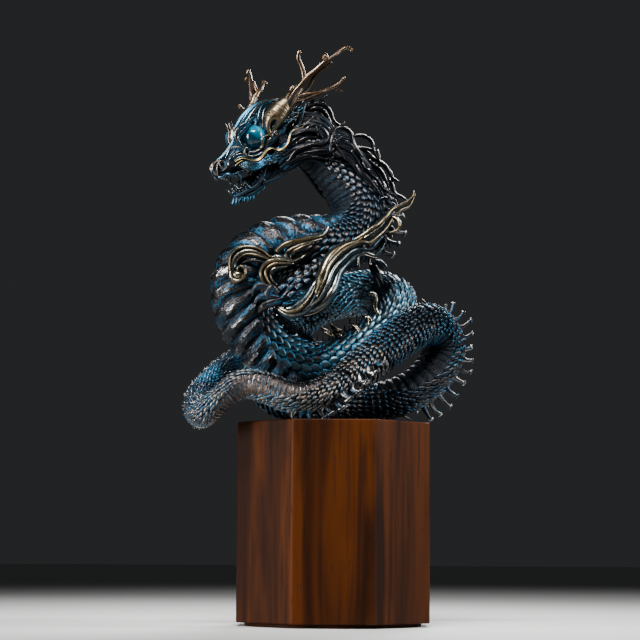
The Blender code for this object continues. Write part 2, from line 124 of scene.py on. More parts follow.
SCALE_JITTER = [
    (0, 0.15), (0.25, 0.12), (0.33, 0.2), (0.36, 0.45), (0.45, 0.3), (0.6, 0.25), (0.74, 0.3), (0.8, 0.3),
    (1, 0.3)
]
SPINE_PITCH = [
    (0, 5), (0.2, 5.5), (0.6, 5.5), (0.66, 6.6), (0.73, 6.6), (0.8, 5.5), (0.86, 4.4), (1, 3.4)
]
SPINE_LENGTH = [
    (0.06, 2.5), (0.1, 4), (0.22, 5), (0.26, 6), (0.33, 6), (0.37, 4), (0.5, 4.5), (0.56, 5), (0.64, 4),
    (0.67, 3.6), (0.73, 4), (0.77, 4.5), (0.84, 4), (0.88, 2.6), (1, 2)
]

# Stretches of the body as shares of its length, and their finish. Then for skin the step between its
# rings as a share of the usual one, and for scales the seed of their random numbers.
SKIN_PIECES = {
    "neck_and_arch_skin": ((0, 0.235), "patinated_bronze_skin", 1),
    "ring_skin": ((0.235, 0.56), "patinated_bronze_skin", 1),
    "rear_coil_skin": ((0.56, 0.765), "patinated_bronze_skin", 1),
    "front_strand_and_tail_skin": ((0.765, 1), "rubbed_bronze_skin", 0.7),
}
SCALE_PIECES = {
    "neck_and_arch_scales": ((0.02, 0.235), "patinated_bronze_scales", 20),
    # the ring's scales: a brighter blue, partly patina and partly painted blue light
    "ring_scales": ((0.235, 0.56), "ring_patina_and_painted_light_scales", 21),
    "rear_coil_scales": ((0.56, 0.765), "patinated_bronze_scales", 22),
    "front_strand_and_tail_scales": ((0.765, 0.995), "rubbed_bronze_scales", 23),
}
SKIN_SIDES = 90
CREST_SHARES = (0.05, 0.992)
BRISTLE_SHARES = (0.885, 0.985)


# ---- curves and meshes

def natural_spline(knots, values, at):
    """Natural cubic spline: second derivatives solved from a tridiagonal system, zero at the ends."""
    knots, values = np.asarray(knots, float), np.asarray(values, float)
    steps = np.diff(knots)
    inner = np.arange(1, len(knots) - 1)
    matrix, right = np.eye(len(knots)), np.zeros_like(values)
    matrix[inner, inner - 1], matrix[inner, inner + 1] = steps[:-1], steps[1:]
    matrix[inner, inner] = 2 * (steps[:-1] + steps[1:])
    right[inner] = 6 * np.diff(np.diff(values, axis=0) / steps[:, None], axis=0)
    bend = np.linalg.solve(matrix, right)
    i = np.clip(np.searchsorted(knots, at) - 1, 0, len(steps) - 1)
    step, before, after = (gap[..., None] for gap in (steps[i], at - knots[i], knots[i + 1] - at))
    return ((bend[i] * after ** 3 + bend[i + 1] * before ** 3) / (6 * step)
            + (values[i] / step - bend[i] * step / 6) * after
            + (values[i + 1] / step - bend[i + 1] * step / 6) * before)


def unit(vectors):
    vectors = np.asarray(vectors, float)
    return vectors / np.maximum(np.linalg.norm(vectors, axis=-1, keepdims=True), 1e-9)


def smoothstep(low, high, value):
    """0 below low, 1 above high, and 3t^2 - 2t^3 between them."""
    share = np.clip((value - low) / (high - low), 0, 1)
    return share * share * (3 - 2 * share)


def table(rows, share):
    shares, values = zip(*rows)
    return np.interp(share, shares, values)


def distances(points):
    """How far along the line through the points each one lies."""
    steps = np.linalg.norm(np.diff(np.asarray(points, float), axis=0), axis=1)
    return np.concatenate([[0], np.cumsum(steps)])


def smooth_path(points, count):
    """`count` points evenly along a spline through the given ones, and the unit tangents there."""
    knots = distances(points)
    path = natural_spline(knots, points, np.linspace(0, knots[-1], count))
    return path, unit(np.gradient(path, axis=0))


def square_to(tangents, wished):
    """The wished directions with their part along the tangent taken out, as unit vectors."""
    wished = np.asarray(wished, float)
    return unit(wished - np.sum(wished * tangents, axis=-1, keepdims=True) * tangents)


NOISE_TABLE = np.random.default_rng(7).random((128, 128))


def noise(x, y, seed=0):
    """Value noise: random numbers on a lattice, blended by smoothstep between lattice points."""
    x, y = np.broadcast_arrays(x + 17.3 * seed, y + 9.1 * seed)
    left, low = np.floor(x).astype(int), np.floor(y).astype(int)
    across, up = x - left, y - low
    across = across * across * (3 - 2 * across)
    up = up * up * (3 - 2 * up)
    a, b, c, d = (NOISE_TABLE[(left + i) % 128, (low + j) % 128] for i in (0, 1) for j in (0, 1))
    return (a * (1 - up) + b * up) * (1 - across) + (c * (1 - up) + d * up) * across


def circle(sides):
    """Angles evenly round a circle, as one row."""
    return (np.arange(sides) * 2 * math.pi / sides)[None]


def tube_faces(bands, sides):
    """Four-cornered faces of a tube with `bands` bands between its rings."""
    i, j = np.meshgrid(np.arange(bands), np.arange(sides), indexing="ij")
    k = (j + 1) % sides
    corners = [i * sides + j, i * sides + k, (i + 1) * sides + k, (i + 1) * sides + j]
    return np.stack(corners, -1).reshape(-1, 4)


class Skin:
    """Points and faces gathered for one piece, with two values at each point.

    relief runs from 0 in a hollow to 1 on a ridge, and tint from 0 to 1 picks the metal's hue. Where relief
    is lowered below what the shape gives, under the belly and in an antler root's hollow, it paints shade,
    and in the eyes tint paints a glow. A piece with tool marks also has strokes: where each point lies
    across and along them, in stroke widths.
    """

    def __init__(self):
        self.points, self.faces, self.relief, self.tint = [], [], [], []
        self.count, self.strokes = 0, None

    def add(self, copies, faces, relief, tint):
        """Like closed shapes: copies (n, k, 3), face lists, and relief and tint as (n, k) or (k).

        A copy's faces are turned round where its volume, the sum of a . (b x c) over its triangles, is
        negative.
        """
        number, size = copies.shape[:2]
        volume = np.zeros(number)
        for part in faces:
            for corners in ([0, 1, 2], [0, 2, 3])[:part.shape[1] - 2]:
                a, b, c = (copies[:, part[:, i]] for i in corners)
                volume += np.einsum("nij,nij->n", a, np.cross(b, c))
        shift = (np.arange(number) * size)[:, None, None] + self.count
        for part in faces:
            every = np.where((volume > 0)[:, None, None], part[None], part[None, :, ::-1]) + shift
            self.faces.append(every.reshape(-1, part.shape[1]))
        self.points.append(copies.reshape(-1, 3))
        self.relief.append(np.broadcast_to(relief, (number, size)).ravel())
        self.tint.append(np.broadcast_to(tint, (number, size)).ravel())
        self.count += number * size

    def add_tube(self, rings, relief, tint=0.5):
        """Tube over rings (n, m, 3). Each end narrows to its ring's middle, so the tube is closed."""
        count, sides = rings.shape[:2]
        ends = rings[[0, -1]].mean(axis=1, keepdims=True).repeat(sides, axis=1)
        grid = np.concatenate([ends[:1], rings, ends[1:]]).reshape(1, -1, 3)
        relief, tint = (np.broadcast_to(value, (count, sides))[with_ends(count)].reshape(1, -1)
                        for value in (relief, tint))
        self.add(grid, [tube_faces(count + 1, sides)], relief, tint)

    def build(self, name, material, stands_for="dragon"):
        """The piece as a mesh object. Points that coincide, as at a tube's ends, are merged."""
        points = np.concatenate(self.points)
        loops = np.concatenate([faces.ravel() for faces in self.faces])
        sizes = np.concatenate([np.full(len(faces), faces.shape[1]) for faces in self.faces])
        mesh = bpy.data.meshes.new(name)
        mesh.vertices.add(len(points))
        mesh.vertices.foreach_set("co", (points * MM).ravel())
        mesh.loops.add(len(loops))
        mesh.loops.foreach_set("vertex_index", loops.astype(np.int32))
        mesh.polygons.add(len(sizes))
        mesh.polygons.foreach_set("loop_start", (np.cumsum(sizes) - sizes).astype(np.int32))
        mesh.update(calc_edges=True)
        layers = {"relief": ("FLOAT", "value", np.concatenate(self.relief)),
                  "tint": ("FLOAT", "value", np.concatenate(self.tint))}
        if self.strokes is not None:
            layers["strokes"] = ("FLOAT_VECTOR", "vector", self.strokes)
        for label, (kind, field, values) in layers.items():
            layer = mesh.attributes.new(label, kind, "POINT")
            layer.data.foreach_set(field, values.astype(np.float32).ravel())
        mesh.validate()
        merge_doubles(mesh)
        mesh.shade_smooth()
        mesh.materials.append(material)
        piece = add_object(name, mesh)
        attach(piece, "root")
        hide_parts(stands_for)


def with_ends(count):
    """Numbers of a tube's rings, with the first and the last one taken twice."""
    return np.r_[0, :count, count - 1]


def merge_doubles(mesh, distance=1e-6):
    """Merges coincident points, which turns the collapsed end rings into closed fans."""
    work = bmesh.new()
    work.from_mesh(mesh)
    bmesh.ops.remove_doubles(work, verts=work.verts, dist=distance)
    bmesh.ops.dissolve_degenerate(work, edges=work.edges, dist=distance)
    work.to_mesh(mesh)
    work.free()


def add_object(name, data):
    """An object at the origin, linked to the scene."""
    made = bpy.data.objects.new(name, data)
    bpy.context.scene.collection.objects.link(made)
    return made


def add_piece(name, shape, finish, seed=0):
    """One piece of the casting: `shape` adds its parts to a skin, with random numbers of its own."""
    skin = Skin()
    shape(skin, np.random.default_rng(seed))
    skin.build(name, metal_material(finish))


# ---- the body

BODY_POINTS, BODY_CRESTS = (np.array(values, float) for values in zip(*BODY_ROUTE))
BODY_KNOTS = distances(BODY_POINTS)
BODY_LENGTH = BODY_KNOTS[-1]
BODY_STEPS = 1600
TANGENT_STEP = 0.2
# How far the plain skin and the foot of the belly plates lie below the body's radius, the share by which
# the belly is flattened, the angle by which scales reach over its edge, and the tool strokes on one plate.
SKIN_DEPTH = 0.9
PLATE_DEPTH = 0.7
FLAT_BELLY = 0.06
SCALE_OVERLAP = 0.26
STROKES_PER_PLATE = 8.5


def trace_body(at):
    """Middle line, tangent, crest direction, side direction and radius at distances along the body."""
    at = np.asarray(at, float)
    inside = np.clip(at, 0, BODY_LENGTH)
    path, ahead, behind = (natural_spline(BODY_KNOTS, BODY_POINTS, np.clip(inside + step, 0, BODY_LENGTH))
                           for step in (0, TANGENT_STEP, -TANGENT_STEP))
    tangents = unit(ahead - behind)
    path = path + (at - inside)[..., None] * tangents
    crest = square_to(tangents, natural_spline(BODY_KNOTS, unit(BODY_CRESTS), inside))
    return path, tangents, crest, np.cross(tangents, crest), body_radius(at)


def skin_shape(at, turn):
    """Height of the belly plates over the plain skin, and the relief, at a distance and an angle.

    Across a plate, height runs as (1 - |2t - 1|^2.4)^0.6 with t from 0 to 1. It falls off towards the
    belly's edge, and furrows run along it. The rest is plain skin.
    """
    share = at / BODY_LENGTH
    from_belly, phase = plate_phase(at, turn)
    half = np.radians(table(BELLY_HALF_ANGLE, share))
    edge = smoothstep(0, 0.22, half - np.abs(from_belly))
    number, across = np.floor(phase), phase % 1
    plate = (1 - np.abs(2 * across - 1) ** 2.4) ** 0.6 * (0.85 + 0.3 * noise(number * 3.7, 0.5, 1))
    end = np.sqrt(np.clip(1 - (np.abs(from_belly) / half) ** 4, 0, 1))
    rough = table(BELLY_ROUGHNESS, share)
    round_ = from_belly * body_radius(at)
    furrow = noise(at * 2.3 + number * 5, from_belly * 2.6, 2) - 0.5
    furrow = furrow + 0.6 * (noise(at * 4.7, from_belly * 7 + number, 3) - 0.5)
    chip = noise(at * 0.9, round_ * 0.5, 4) - 0.5
    striped = noise(phase * 5.5, round_ * 0.16 + number, 6) - 0.5
    carved = 0.35 * rough * (furrow + chip) + (0.25 + 1.2 * rough) * striped
    belly = table(BELLY_HEIGHT, share) * plate * end + plate * carved
    height = edge * (SKIN_DEPTH - PLATE_DEPTH + belly)
    relief = edge * (0.02 + 0.64 * plate * end + 0.12 * furrow + (0.45 + 0.7 * rough) * striped)
    # the belly's relief is scaled down by the painted-shade table, which paints shade under the neck and
    # inside the coils
    return height, np.clip(relief * table(BELLY_PAINTED_SHADE, share) + (1 - edge) * 0.1, 0, 1)


def tool_marks(at, turn):
    """Where each point lies across and along the strokes that are cut along the belly plates."""
    from_belly, phase = plate_phase(at, turn)
    along = from_belly * body_radius(at) * 0.42
    return np.stack([phase * STROKES_PER_PLATE, along + 3 * np.floor(phase), 0 * along], -1)


def on_body(at, turn, height):
    """Points above the skin: path + reach * (cos(turn) crest + sin(turn) side)."""
    path, _, crest, side, _ = trace_body(at)
    turn, reach = turn[..., None], (base_reach(at, turn) + height)[..., None]
    return path + reach * (np.cos(turn) * crest + np.sin(turn) * side)


def body_radius(at):
    return table(BODY_RADIUS, at / BODY_LENGTH)


def rows_along(pitch):
    """Distances along the body, and how many rows come before each: the sum of 1 / pitch."""
    steps = np.linspace(0, BODY_LENGTH, BODY_STEPS)
    return steps, np.cumsum(1 / table(pitch, steps / BODY_LENGTH)) * steps[1]


def plate_phase(at, turn):
    """The angle from the belly's middle, and how many plates come before a place on the belly."""
    from_belly = turn % (2 * math.pi) - math.pi
    plates = np.interp(at, *rows_along(BELLY_PITCH))
    return from_belly, plates + table(BELLY_SLANT, at / BODY_LENGTH) * from_belly


def base_reach(at, turn):
    """The plain skin's distance from the middle line, without its plates."""
    return body_radius(at) * (1 - FLAT_BELLY * np.clip(-np.cos(turn), 0, 1)) - SKIN_DEPTH


def body_skin(name, shares, step, sides, material):
    """Skin of one stretch of body: a ring of points every `step`, each at its own height."""
    start, end = shares[0] * BODY_LENGTH, shares[1] * BODY_LENGTH
    at = np.linspace(start, end, round((end - start) / step) + 1)[:, None]
    turn = circle(sides)
    height, relief = skin_shape(at, turn)
    skin = Skin()
    skin.add_tube(on_body(at, turn, height), relief, 0.25 + 0.5 * noise(at * 0.08, turn * 2, 5))
    skin.strokes = tool_marks(at, turn)[with_ends(len(at))].reshape(-1, 3)
    skin.build(name, material)


def scale_template(point=0.35, sides=8):
    """One scale in its own plane: rings at 0.7, 1 and 0.9 of an outline a = cos t, b = sin t.

    The outline narrows towards its tip as 1 - point * cos t. The columns are a, b, height and relief.
    """
    angle = circle(sides)[0]
    along, across = np.cos(angle), np.sin(angle) * (1 - point * np.cos(angle))
    rows = [[[0.25, 0, 1.06, 0.8]]]
    for size, height, relief in ((0.7, 0.9, 0.56), (1, 0.34, 0.27), (0.9, -0.9, 0.02)):
        ring = np.stack([along * size, across * size, np.full(sides, height), np.full(sides, relief)], 1)
        ring[:, 2] += np.where(height > 0, 0.16 * (np.abs(across) < 0.1), 0)
        rows.append(ring)
    rows.append([[0, 0, -1.2, 0]])
    points = np.concatenate(rows)
    j = np.arange(sides)
    k = (j + 1) % sides
    last, bottom = 1 + 2 * sides, len(points) - 1
    fans = [np.stack([0 * j, 1 + j, 1 + k], 1), np.stack([last + j, 0 * j + bottom, last + k], 1)]
    bands = [np.stack([low + j, low + sides + j, low + sides + k, low + k], 1) for low in (1, 1 + sides)]
    return points, [np.concatenate(bands), np.concatenate(fans)]


def scale_places(shares, random):
    """Rows of scales across the back, each row shifted half a scale from the one before."""
    steps, rows = rows_along(SCALE_ALONG)
    first, last = np.interp(np.array(shares) * BODY_LENGTH, steps, rows)
    places = []
    for row in range(math.ceil(first), math.floor(last) + 1):
        at = np.interp(row, rows, steps)
        share = at / BODY_LENGTH
        reach = math.pi - math.radians(table(BELLY_HALF_ANGLE, share)) + SCALE_OVERLAP
        count = max(3, round(2 * reach * body_radius(at) / table(SCALE_ACROSS, share)))
        turn = -reach + (np.arange(count) + 0.5 * (row % 2) + 0.25) * 2 * reach / count
        places.append(np.stack([np.full(count, at), turn], 1))
    places = np.concatenate(places)
    jitter = table(SCALE_JITTER, places[:, 0] / BODY_LENGTH)
    places[:, 0] += random.normal(0, 0.35, len(places)) * jitter * 3
    places[:, 1] += random.normal(0, 0.35, len(places)) * jitter * 0.2
    return places, jitter


def body_scales(name, shares, material, seed):
    """Overlapping scales, each bent to the body: the template's a runs along it and b round it."""
    random = np.random.default_rng(seed)
    template, faces = scale_template()
    places, jitter = scale_places(shares, random)
    share = places[:, 0] / BODY_LENGTH

    def varied(sizes, part, spread):
        return (table(sizes, share) * part * (1 + jitter * random.normal(0, spread, len(share))))[:, None]

    long, wide = varied(SCALE_ALONG, 0.74, 0.3), varied(SCALE_ACROSS, 0.56, 0.3)
    high, lift = varied(SCALE_HEIGHT, 1, 0.5), varied(SCALE_LIFT, 1, 0.8)
    swing = (jitter * random.normal(0, 0.5, len(share)))[:, None]
    a = template[:, 0] * np.cos(swing) + template[:, 1] * np.sin(swing)
    b = template[:, 1] * np.cos(swing) - template[:, 0] * np.sin(swing)
    turn = places[:, 1:] - b * wide / body_radius(places[:, :1])
    points = on_body(places[:, :1] + a * long, turn, template[:, 2] * high + (a + 0.3) * lift)
    skin = Skin()
    relief = template[:, 3] * table(SCALE_SHADE, share)[:, None]
    skin.add(points, faces, relief, random.random((len(share), 1)))
    skin.build(name, material)


def hook_template(rings=5, sides=5, fork=False):
    """A hooked spine: its middle runs forward as t^1.6 while it rises, and it thins as (1 - t)^0.8.

    The columns are distance forward, distance across, height and relief. A fork stands out behind.
    """
    t = np.linspace(0, 1, rings)[:, None]
    angle = circle(sides)
    thin = 0.1 + 0.9 * (1 - t) ** 0.8
    lean = -0.35 * t if fork else 0.75 * t ** 1.6
    size = 0.62 if fork else 1
    a = lean + 0.3 * size * thin * np.cos(angle)
    b = 0.16 * size * thin * np.sin(angle)
    points = np.stack([a, b, t * size + 0 * angle, 0.25 + 0.75 * t ** 0.7 + 0 * angle], -1)
    ends = points[[0, -1]].mean(axis=1)
    j = np.arange(sides)
    k = (j + 1) % sides
    root, last = 0 * j + rings * sides, (rings - 1) * sides
    fans = [np.stack([root, k, j], 1), np.stack([root + 1, last + j, last + k], 1)]
    points = np.concatenate([points.reshape(-1, 4), ends])
    return points, [tube_faces(rings - 1, sides), np.concatenate(fans)]


def add_hooks(skin, at, turn, length, lean, random, fork=False, broad=1):
    """Hooked spines on the skin at distances and angles, each as long as its own length."""
    template, faces = hook_template(fork=fork)
    stretch = length[:, None]
    forward = at[:, None] + template[:, 0] * stretch * lean[:, None]
    round_ = turn[:, None] - template[:, 1] * stretch * broad / body_radius(at)[:, None]
    height = template[:, 2] * (stretch + 1.2) - 1.2
    skin.add(on_body(forward, round_, height), faces, template[:, 3], random.random((len(at), 1)))


def crest_spines(skin, random):
    """The crest: forked spines along the back, with two rows of shorter hooks on each side."""
    steps, rows = rows_along(SPINE_PITCH)
    first, last = np.interp(np.array(CREST_SHARES) * BODY_LENGTH, steps, rows)
    at = np.interp(np.arange(math.ceil(first), math.floor(last) + 1), rows, steps)
    length = table(SPINE_LENGTH, at / BODY_LENGTH) * random.uniform(0.8, 1.15, len(at))
    lean = random.uniform(0.7, 1.2, len(at))
    sway = random.normal(0, 0.05, len(at))
    for fork in (False, True):
        add_hooks(skin, at, sway, length, lean, random, fork)
    for turn in (-0.42, 0.42, -0.8, 0.8):
        shift = random.uniform(0.2, 0.8, len(at)) * 5
        short = length * (0.5 if abs(turn) < 0.6 else 0.34) * random.uniform(0.7, 1.1, len(at))
        add_hooks(skin, at + shift, turn + random.normal(0, 0.06, len(at)), short, lean * 1.2, random)


def tail_bristles(skin, random):
    """Dense hooks round the back of the tail, on a jittered lattice of distance and angle."""
    start, end = np.array(BRISTLE_SHARES) * BODY_LENGTH
    at, turn = np.meshgrid(np.arange(start, end, 2.5), np.radians(np.arange(-105, 106, 21)), indexing="ij")
    at = at.ravel() + random.normal(0, 0.7, at.size)
    turn = turn.ravel() + random.normal(0, 0.09, turn.size)
    length = random.uniform(1.4, 2.6, at.size)
    add_hooks(skin, at, turn, length, random.uniform(0.6, 1.6, at.size), random, broad=1.3)


# ---- locks and branches

BODY_CORE = trace_body(np.linspace(0, BODY_LENGTH, 400))[0]


def away_from_body(points):
    """Unit directions from the nearest point of the body's middle line to each point."""
    nearest = BODY_CORE[np.argmin(np.linalg.norm(points[:, None] - BODY_CORE, axis=2), axis=1)]
    return unit(points - nearest)


def swell(t, root, tip, belly=0.3):
    """Breadth along a lock: sin from `root` up to 1 at `belly`, then 1 - s^1.7 down to `tip`."""
    before = root + (1 - root) * np.sin(np.clip(t / belly, 0, 1) * math.pi / 2)
    after = tip + (1 - tip) * (1 - np.clip((t - belly) / (1 - belly), 0, 1) ** 1.7)
    return np.where(t < belly, before, after)


def add_lock(skin, points, width, thick, facing, ridges=1, root=0.6, tip=0.08, belly=0.3, tint=0.5,
             rise=0, low=0.12):
    """A lock of hair or a lip: a grooved band carried along a path and narrowed to its ends.

    Across it, u runs from 0 to 1 and the top's height is h (1 - |2u - 1|^2.6) (0.55 + 0.45 g), where
    g = (1 - cos 2 pi k u) / 2 makes k ridges. Its underside is a flatter arc. `facing` is a direction,
    or a function that gives one for each point, and `rise` lifts the path's middle that way.
    """
    count = max(8, round(distances(points)[-1]))
    path, tangents = smooth_path(points, count)
    t = np.linspace(0, 1, count)[:, None]
    up = square_to(tangents, facing(path) if callable(facing) else facing)
    across = np.cross(tangents, up)
    path = path + rise * np.sin(math.pi * t) * up
    top = np.linspace(0, math.pi, 6 + 6 * ridges)
    angle = np.concatenate([top, math.pi * (1 + np.arange(1, 5) / 5)])[None]
    u = (1 + np.cos(angle)) / 2
    groove = (1 - np.cos(2 * math.pi * ridges * u)) / 2 if ridges > 1 else np.sin(math.pi * u) ** 0.7
    dome = 1 - np.abs(2 * u - 1) ** 2.6
    on_top = np.sin(angle) >= 0
    height = np.where(on_top, dome * (0.55 + 0.45 * groove), 0.7 * np.sin(angle))
    size = swell(t, root, tip, belly)
    rings = (path[:, None] + (width / 2 * size * np.cos(angle))[..., None] * across[:, None]
             + (thick * size ** 0.8 * height)[..., None] * up[:, None])
    relief = np.where(on_top, low + (1 - low) * groove * dome ** 0.5, 0.05) * (0.75 + 0.25 * (1 - t))
    skin.add_tube(rings, relief, tint)


def add_combed(skin, guides, count, width, thick, facing, random, ridges=1, wave=0.5, **more):
    """Locks combed between guide lines: the guides are blended by a spline across their order."""
    guides = np.asarray(guides, float)
    order = np.linspace(0, len(guides) - 1, count) + random.normal(0, 0.06, count)
    order = np.clip(order, 0, len(guides) - 1)
    lines = natural_spline(np.arange(len(guides)), guides.reshape(len(guides), -1), order)
    for line in lines.reshape(count, -1, 3):
        shaken = line + random.normal(0, wave * 0.35, line.shape)
        shaken[0] = line[0]
        size = random.uniform(0.75, 1.2)
        add_lock(skin, shaken, width * size, thick * size, facing, ridges, tint=random.random(),
                 rise=random.uniform(-0.2, 0.6) * wave, **more)


def add_branch(skin, points, radii, random, knobs=0.12, relief=0.85, tint=0.7):
    """An antler's branch or a limb: a tube whose radius follows `radii` along it.

    Furrows, r (1 + a n(3 angle, t)), and swellings, r (1 + b n(t)), roughen it. Its tip is round.
    """
    length = distances(points)[-1]
    count, sides = max(10, round(length / 0.5)), 20 if max(radii) > 2 else 14
    path, tangents = smooth_path(points, count)
    t = np.linspace(0, 1, count)[:, None]
    up = square_to(tangents, (0, -1, 0) if abs(tangents[:, 1]).max() < 0.9 else (0, 0, 1))
    across = np.cross(tangents, up)
    angle = circle(sides)
    seed = random.uniform(0, 50)
    radius = np.interp(t, np.linspace(0, 1, len(radii)), radii)
    furrow = noise(3 * np.cos(angle) + seed, 3 * np.sin(angle) + t * length / 9 + seed, 6) - 0.5
    swollen = noise(t * length / 4 + seed, seed, 7) - 0.5
    end = np.sqrt(np.clip(1 - np.clip((t - 1) * length / np.maximum(radius, 0.3) + 1, 0, 1) ** 2, 0.02, 1))
    reach = (radius * end * (1 + knobs * (1.6 * furrow + 1.5 * swollen)))[..., None]
    way = np.cos(angle)[..., None] * across[:, None] + np.sin(angle)[..., None] * up[:, None]
    skin.add_tube(path[:, None] + reach * way, np.clip(relief + 1.1 * furrow, 0, 1), tint)


# ---- the head

HEAD_ORIGIN = np.array([-36, -6, 259.5])
HEAD_YAW = 28
HEAD_PITCH = 30
HEAD_ROLL = -4
EYE_PLACE = (12.1, 7.7, 4.3)
EYE_RADIUS = 6.3
GLASS_GAP = 0.02
FOIL_GAPS = (0.75, 0.12)
# Forward place, height of the top, height of the underside, half width.
SKULL = [
    (-19, 6, -3, 4), (-16, 12, -7, 9), (-11, 15.5, -9, 12), (-4, 17, -10, 12.8), (2, 16.3, -10.3, 12.4),
    (7, 14.6, -11, 11.6), (12, 11.8, -11, 10.6), (16, 8.8, -11, 9.8), (19, 6.6, -10.6, 9),
    (22, 4.6, -10, 8), (25, 3, -9, 7), (28, 1.6, -8.8, 6.2), (31, 0.6, -8.9, 5.6), (33.5, 0.5, -8.6, 5),
    (35.3, 0.2, -8, 4.2), (36.6, -0.8, -7.2, 3), (37.3, -2.6, -6, 1.6)
]
JAW = [
    (-12, -4, -16, 6), (-8, -5, -19, 9), (-2, -8, -21.3, 10), (5, -9.6, -21, 9.8), (11, -11.2, -20.9, 9.2),
    (15, -13.2, -20.8, 8.6), (19, -16, -20.8, 8), (23, -18.2, -21.2, 7.2), (27, -19, -21.6, 6.2),
    (31, -18.9, -21.6, 4.6), (33.2, -18.8, -21, 2.8), (34.2, -19, -20.4, 1.2)
]

# Bands on each side of the face: forward, side and up on the head, then width, thickness and tint.
# Lids and brows: three bands fan up from the eye's front corner to raised tips behind it.
BROWS = [
    ([(21, 8.2, 2.5), (21.8, 8.4, 5.6), (20.8, 8.8, 8.2), (17.9, 9.6, 9.6), (14.6, 10.4, 11.2),
     (11.6, 10.8, 13.1), (9.1, 11.4, 13.8), (7, 12.4, 15.3)], 1.3, 1.7, 0.2),
    ([(21.5, 7.4, 3.7), (22.2, 7.2, 7.2), (20.7, 7.6, 9.7), (17.1, 8.6, 11.5), (14.1, 9.2, 12.4),
     (11.8, 9.8, 14), (9.8, 10.4, 15.1), (7.7, 11.4, 15.6)], 1.3, 1.7, 0.8),
    ([(20.9, 4.5, 5.4), (20.8, 6.3, 8.9), (19.2, 7.5, 11), (17, 9, 12.4), (13.5, 9.8, 12.8),
     (11.3, 11.5, 14.4)], 1.8, 1.7, 0.4),
    ([(18.9, 10.1, 1), (20.1, 8.4, 1.1), (21.3, 8.3, 0), (21.3, 8.5, -2), (20.3, 8.9, -3),
     (19.5, 9.1, -1.7)], 1, 1.2, 0.9),
    ([(19.3, 9.2, -1.3), (16.1, 10, -2.3), (12.9, 10.6, -2.1), (11.4, 12.6, -0.1), (11.5, 14.1, 2.4),
     (8.4, 13, 2.8), (4.6, 12.3, 2.3), (0.4, 12.8, 3.9), (-2.5, 12.9, 5.8)], 1.2, 1.3, 0.9),
    ([(20.1, 8.9, -3.1), (16.8, 9.6, -4.2), (12.6, 10.1, -4.1), (9.9, 11, -2.5), (8.1, 11.6, -0.5),
     (6, 12, 0.4), (1.8, 12.6, 0.9), (-2.6, 13, 2.3), (-7.4, 12.8, 4.1), (-11.4, 15, 8.4),
     (-14.2, 15, 11.5)], 1.3, 1.5, 0.6),
]
# Bridge of the nose, wrinkles above the lip, nostril wing, upper lip and the jaw's edges.
MUZZLE = [
    ([(30.2, 2.7, 0.5), (27.7, 2.2, 1.6), (25.6, 2, 2.7), (23, 4, 3.5), (21.3, 6.9, 2.5), (19.8, 8.5, 1.1)],
     1.6, 1.4, 0.8),
    ([(29.7, 5, -0.7), (26.5, 5.5, 0.5), (23.6, 6.7, 1), (21.5, 7.9, 0.6)], 1.2, 1.2, 0.3),
    ([(27.8, 5.7, -0.6), (24.3, 6.9, -0.1), (22.1, 8.2, -1.3), (20.5, 8.8, -3.5)], 1.1, 1.1, 0.8),
    ([(28, 6.3, -1.9), (25.2, 7.1, -1.5), (22.4, 8.2, -2.4), (19.1, 8.9, -5), (15.3, 9.1, -6.2)], 1.1, 1.1,
     0.2),
    ([(33, 1.2, 1.2), (29, 0.9, 2), (25, 0.8, 3.6), (21, 1.2, 5.6), (17.5, 2.2, 8.2)], 1.5, 1.2, 0.3),
    ([(30.9, 5.2, -1.4), (32.7, 5.5, -3), (34.4, 5, -3.9), (35.9, 4.1, -4.1)], 1.6, 1.4, 0.9),
    ([(38, 1.6, -5.8), (36.6, 3, -7.3), (34, 4.5, -6.6), (32.4, 5.5, -8.3), (30.8, 6, -10),
     (30.4, 6, -11.6)], 1.4, 1.3, 0.4),
    ([(26.6, 6.5, -4.9), (25.6, 7.5, -7.2), (22.4, 8.5, -9.7), (19.1, 9.5, -10.8), (15.2, 10.5, -10.8),
     (11.9, 11.5, -9.7), (9.8, 12, -9.5)], 1.2, 1.2, 0.6),
    ([(33.8, 1.2, -18.9), (32.4, 2.9, -18.9), (30.4, 4.7, -19.6), (27.9, 5.2, -19.5), (25.2, 6.4, -19.4),
     (23.1, 7.3, -19.3), (20.4, 7.9, -18.4), (17, 8.5, -15.6), (14.2, 8.5, -13.4), (11.4, 9, -11.8),
     (7.7, 9.9, -11.2), (3.8, 11.2, -12.1)], 1.3, 1.3, 0.6),
    ([(34, 1, -21.6), (22.3, 7, -21.6), (17.7, 8, -20.4), (13.7, 9, -20.3), (8.9, 10, -20.7),
     (4, 10.5, -20.7)], 1.6, 1.1, 0.2),
    ([(20.6, 8.8, -18.6), (18.6, 9.4, -17.2), (17.6, 9.6, -18.8), (19.2, 9.4, -19.6)], 1, 1, 0.8),
    ([(-11, 15.4, -0.9), (-13.1, 16.4, 1.5), (-15.9, 17.2, 5), (-20.3, 17.4, 9)], 1.4, 1.2, 0.7),
]
CROWN = [
    [(15, 2.6, 11.6), (9, 3, 14.8), (3, 2.6, 17), (-3, 2.4, 18), (-10, 2.2, 16.8), (-16, 2, 13.6)],
    [(15, 5.6, 11), (9, 5.6, 13.8), (2, 5, 16.6), (-4, 4, 17.6), (-10, 3.8, 16.6), (-16, 3.6, 13.4)],
    [(8.4, 9.2, 7.6), (6.4, 9.2, 11.3), (3.4, 8.2, 14.2), (0.8, 7.4, 15.8), (-2.8, 6.4, 16.9),
     (-8, 5.2, 16.6)],
    [(7, 10.6, 5.6), (5.1, 10.2, 9.6), (2.7, 9.4, 12.3), (-0.2, 8.6, 14.4), (-3.8, 7.6, 15.2),
     (-9.5, 6.4, 15)],
    [(6.4, 11.8, 4.1), (4.6, 11.6, 8.1), (2.1, 10.8, 11), (-0.8, 10, 12.8), (-4.3, 9, 13.8),
     (-9.6, 8, 14.2)],
]
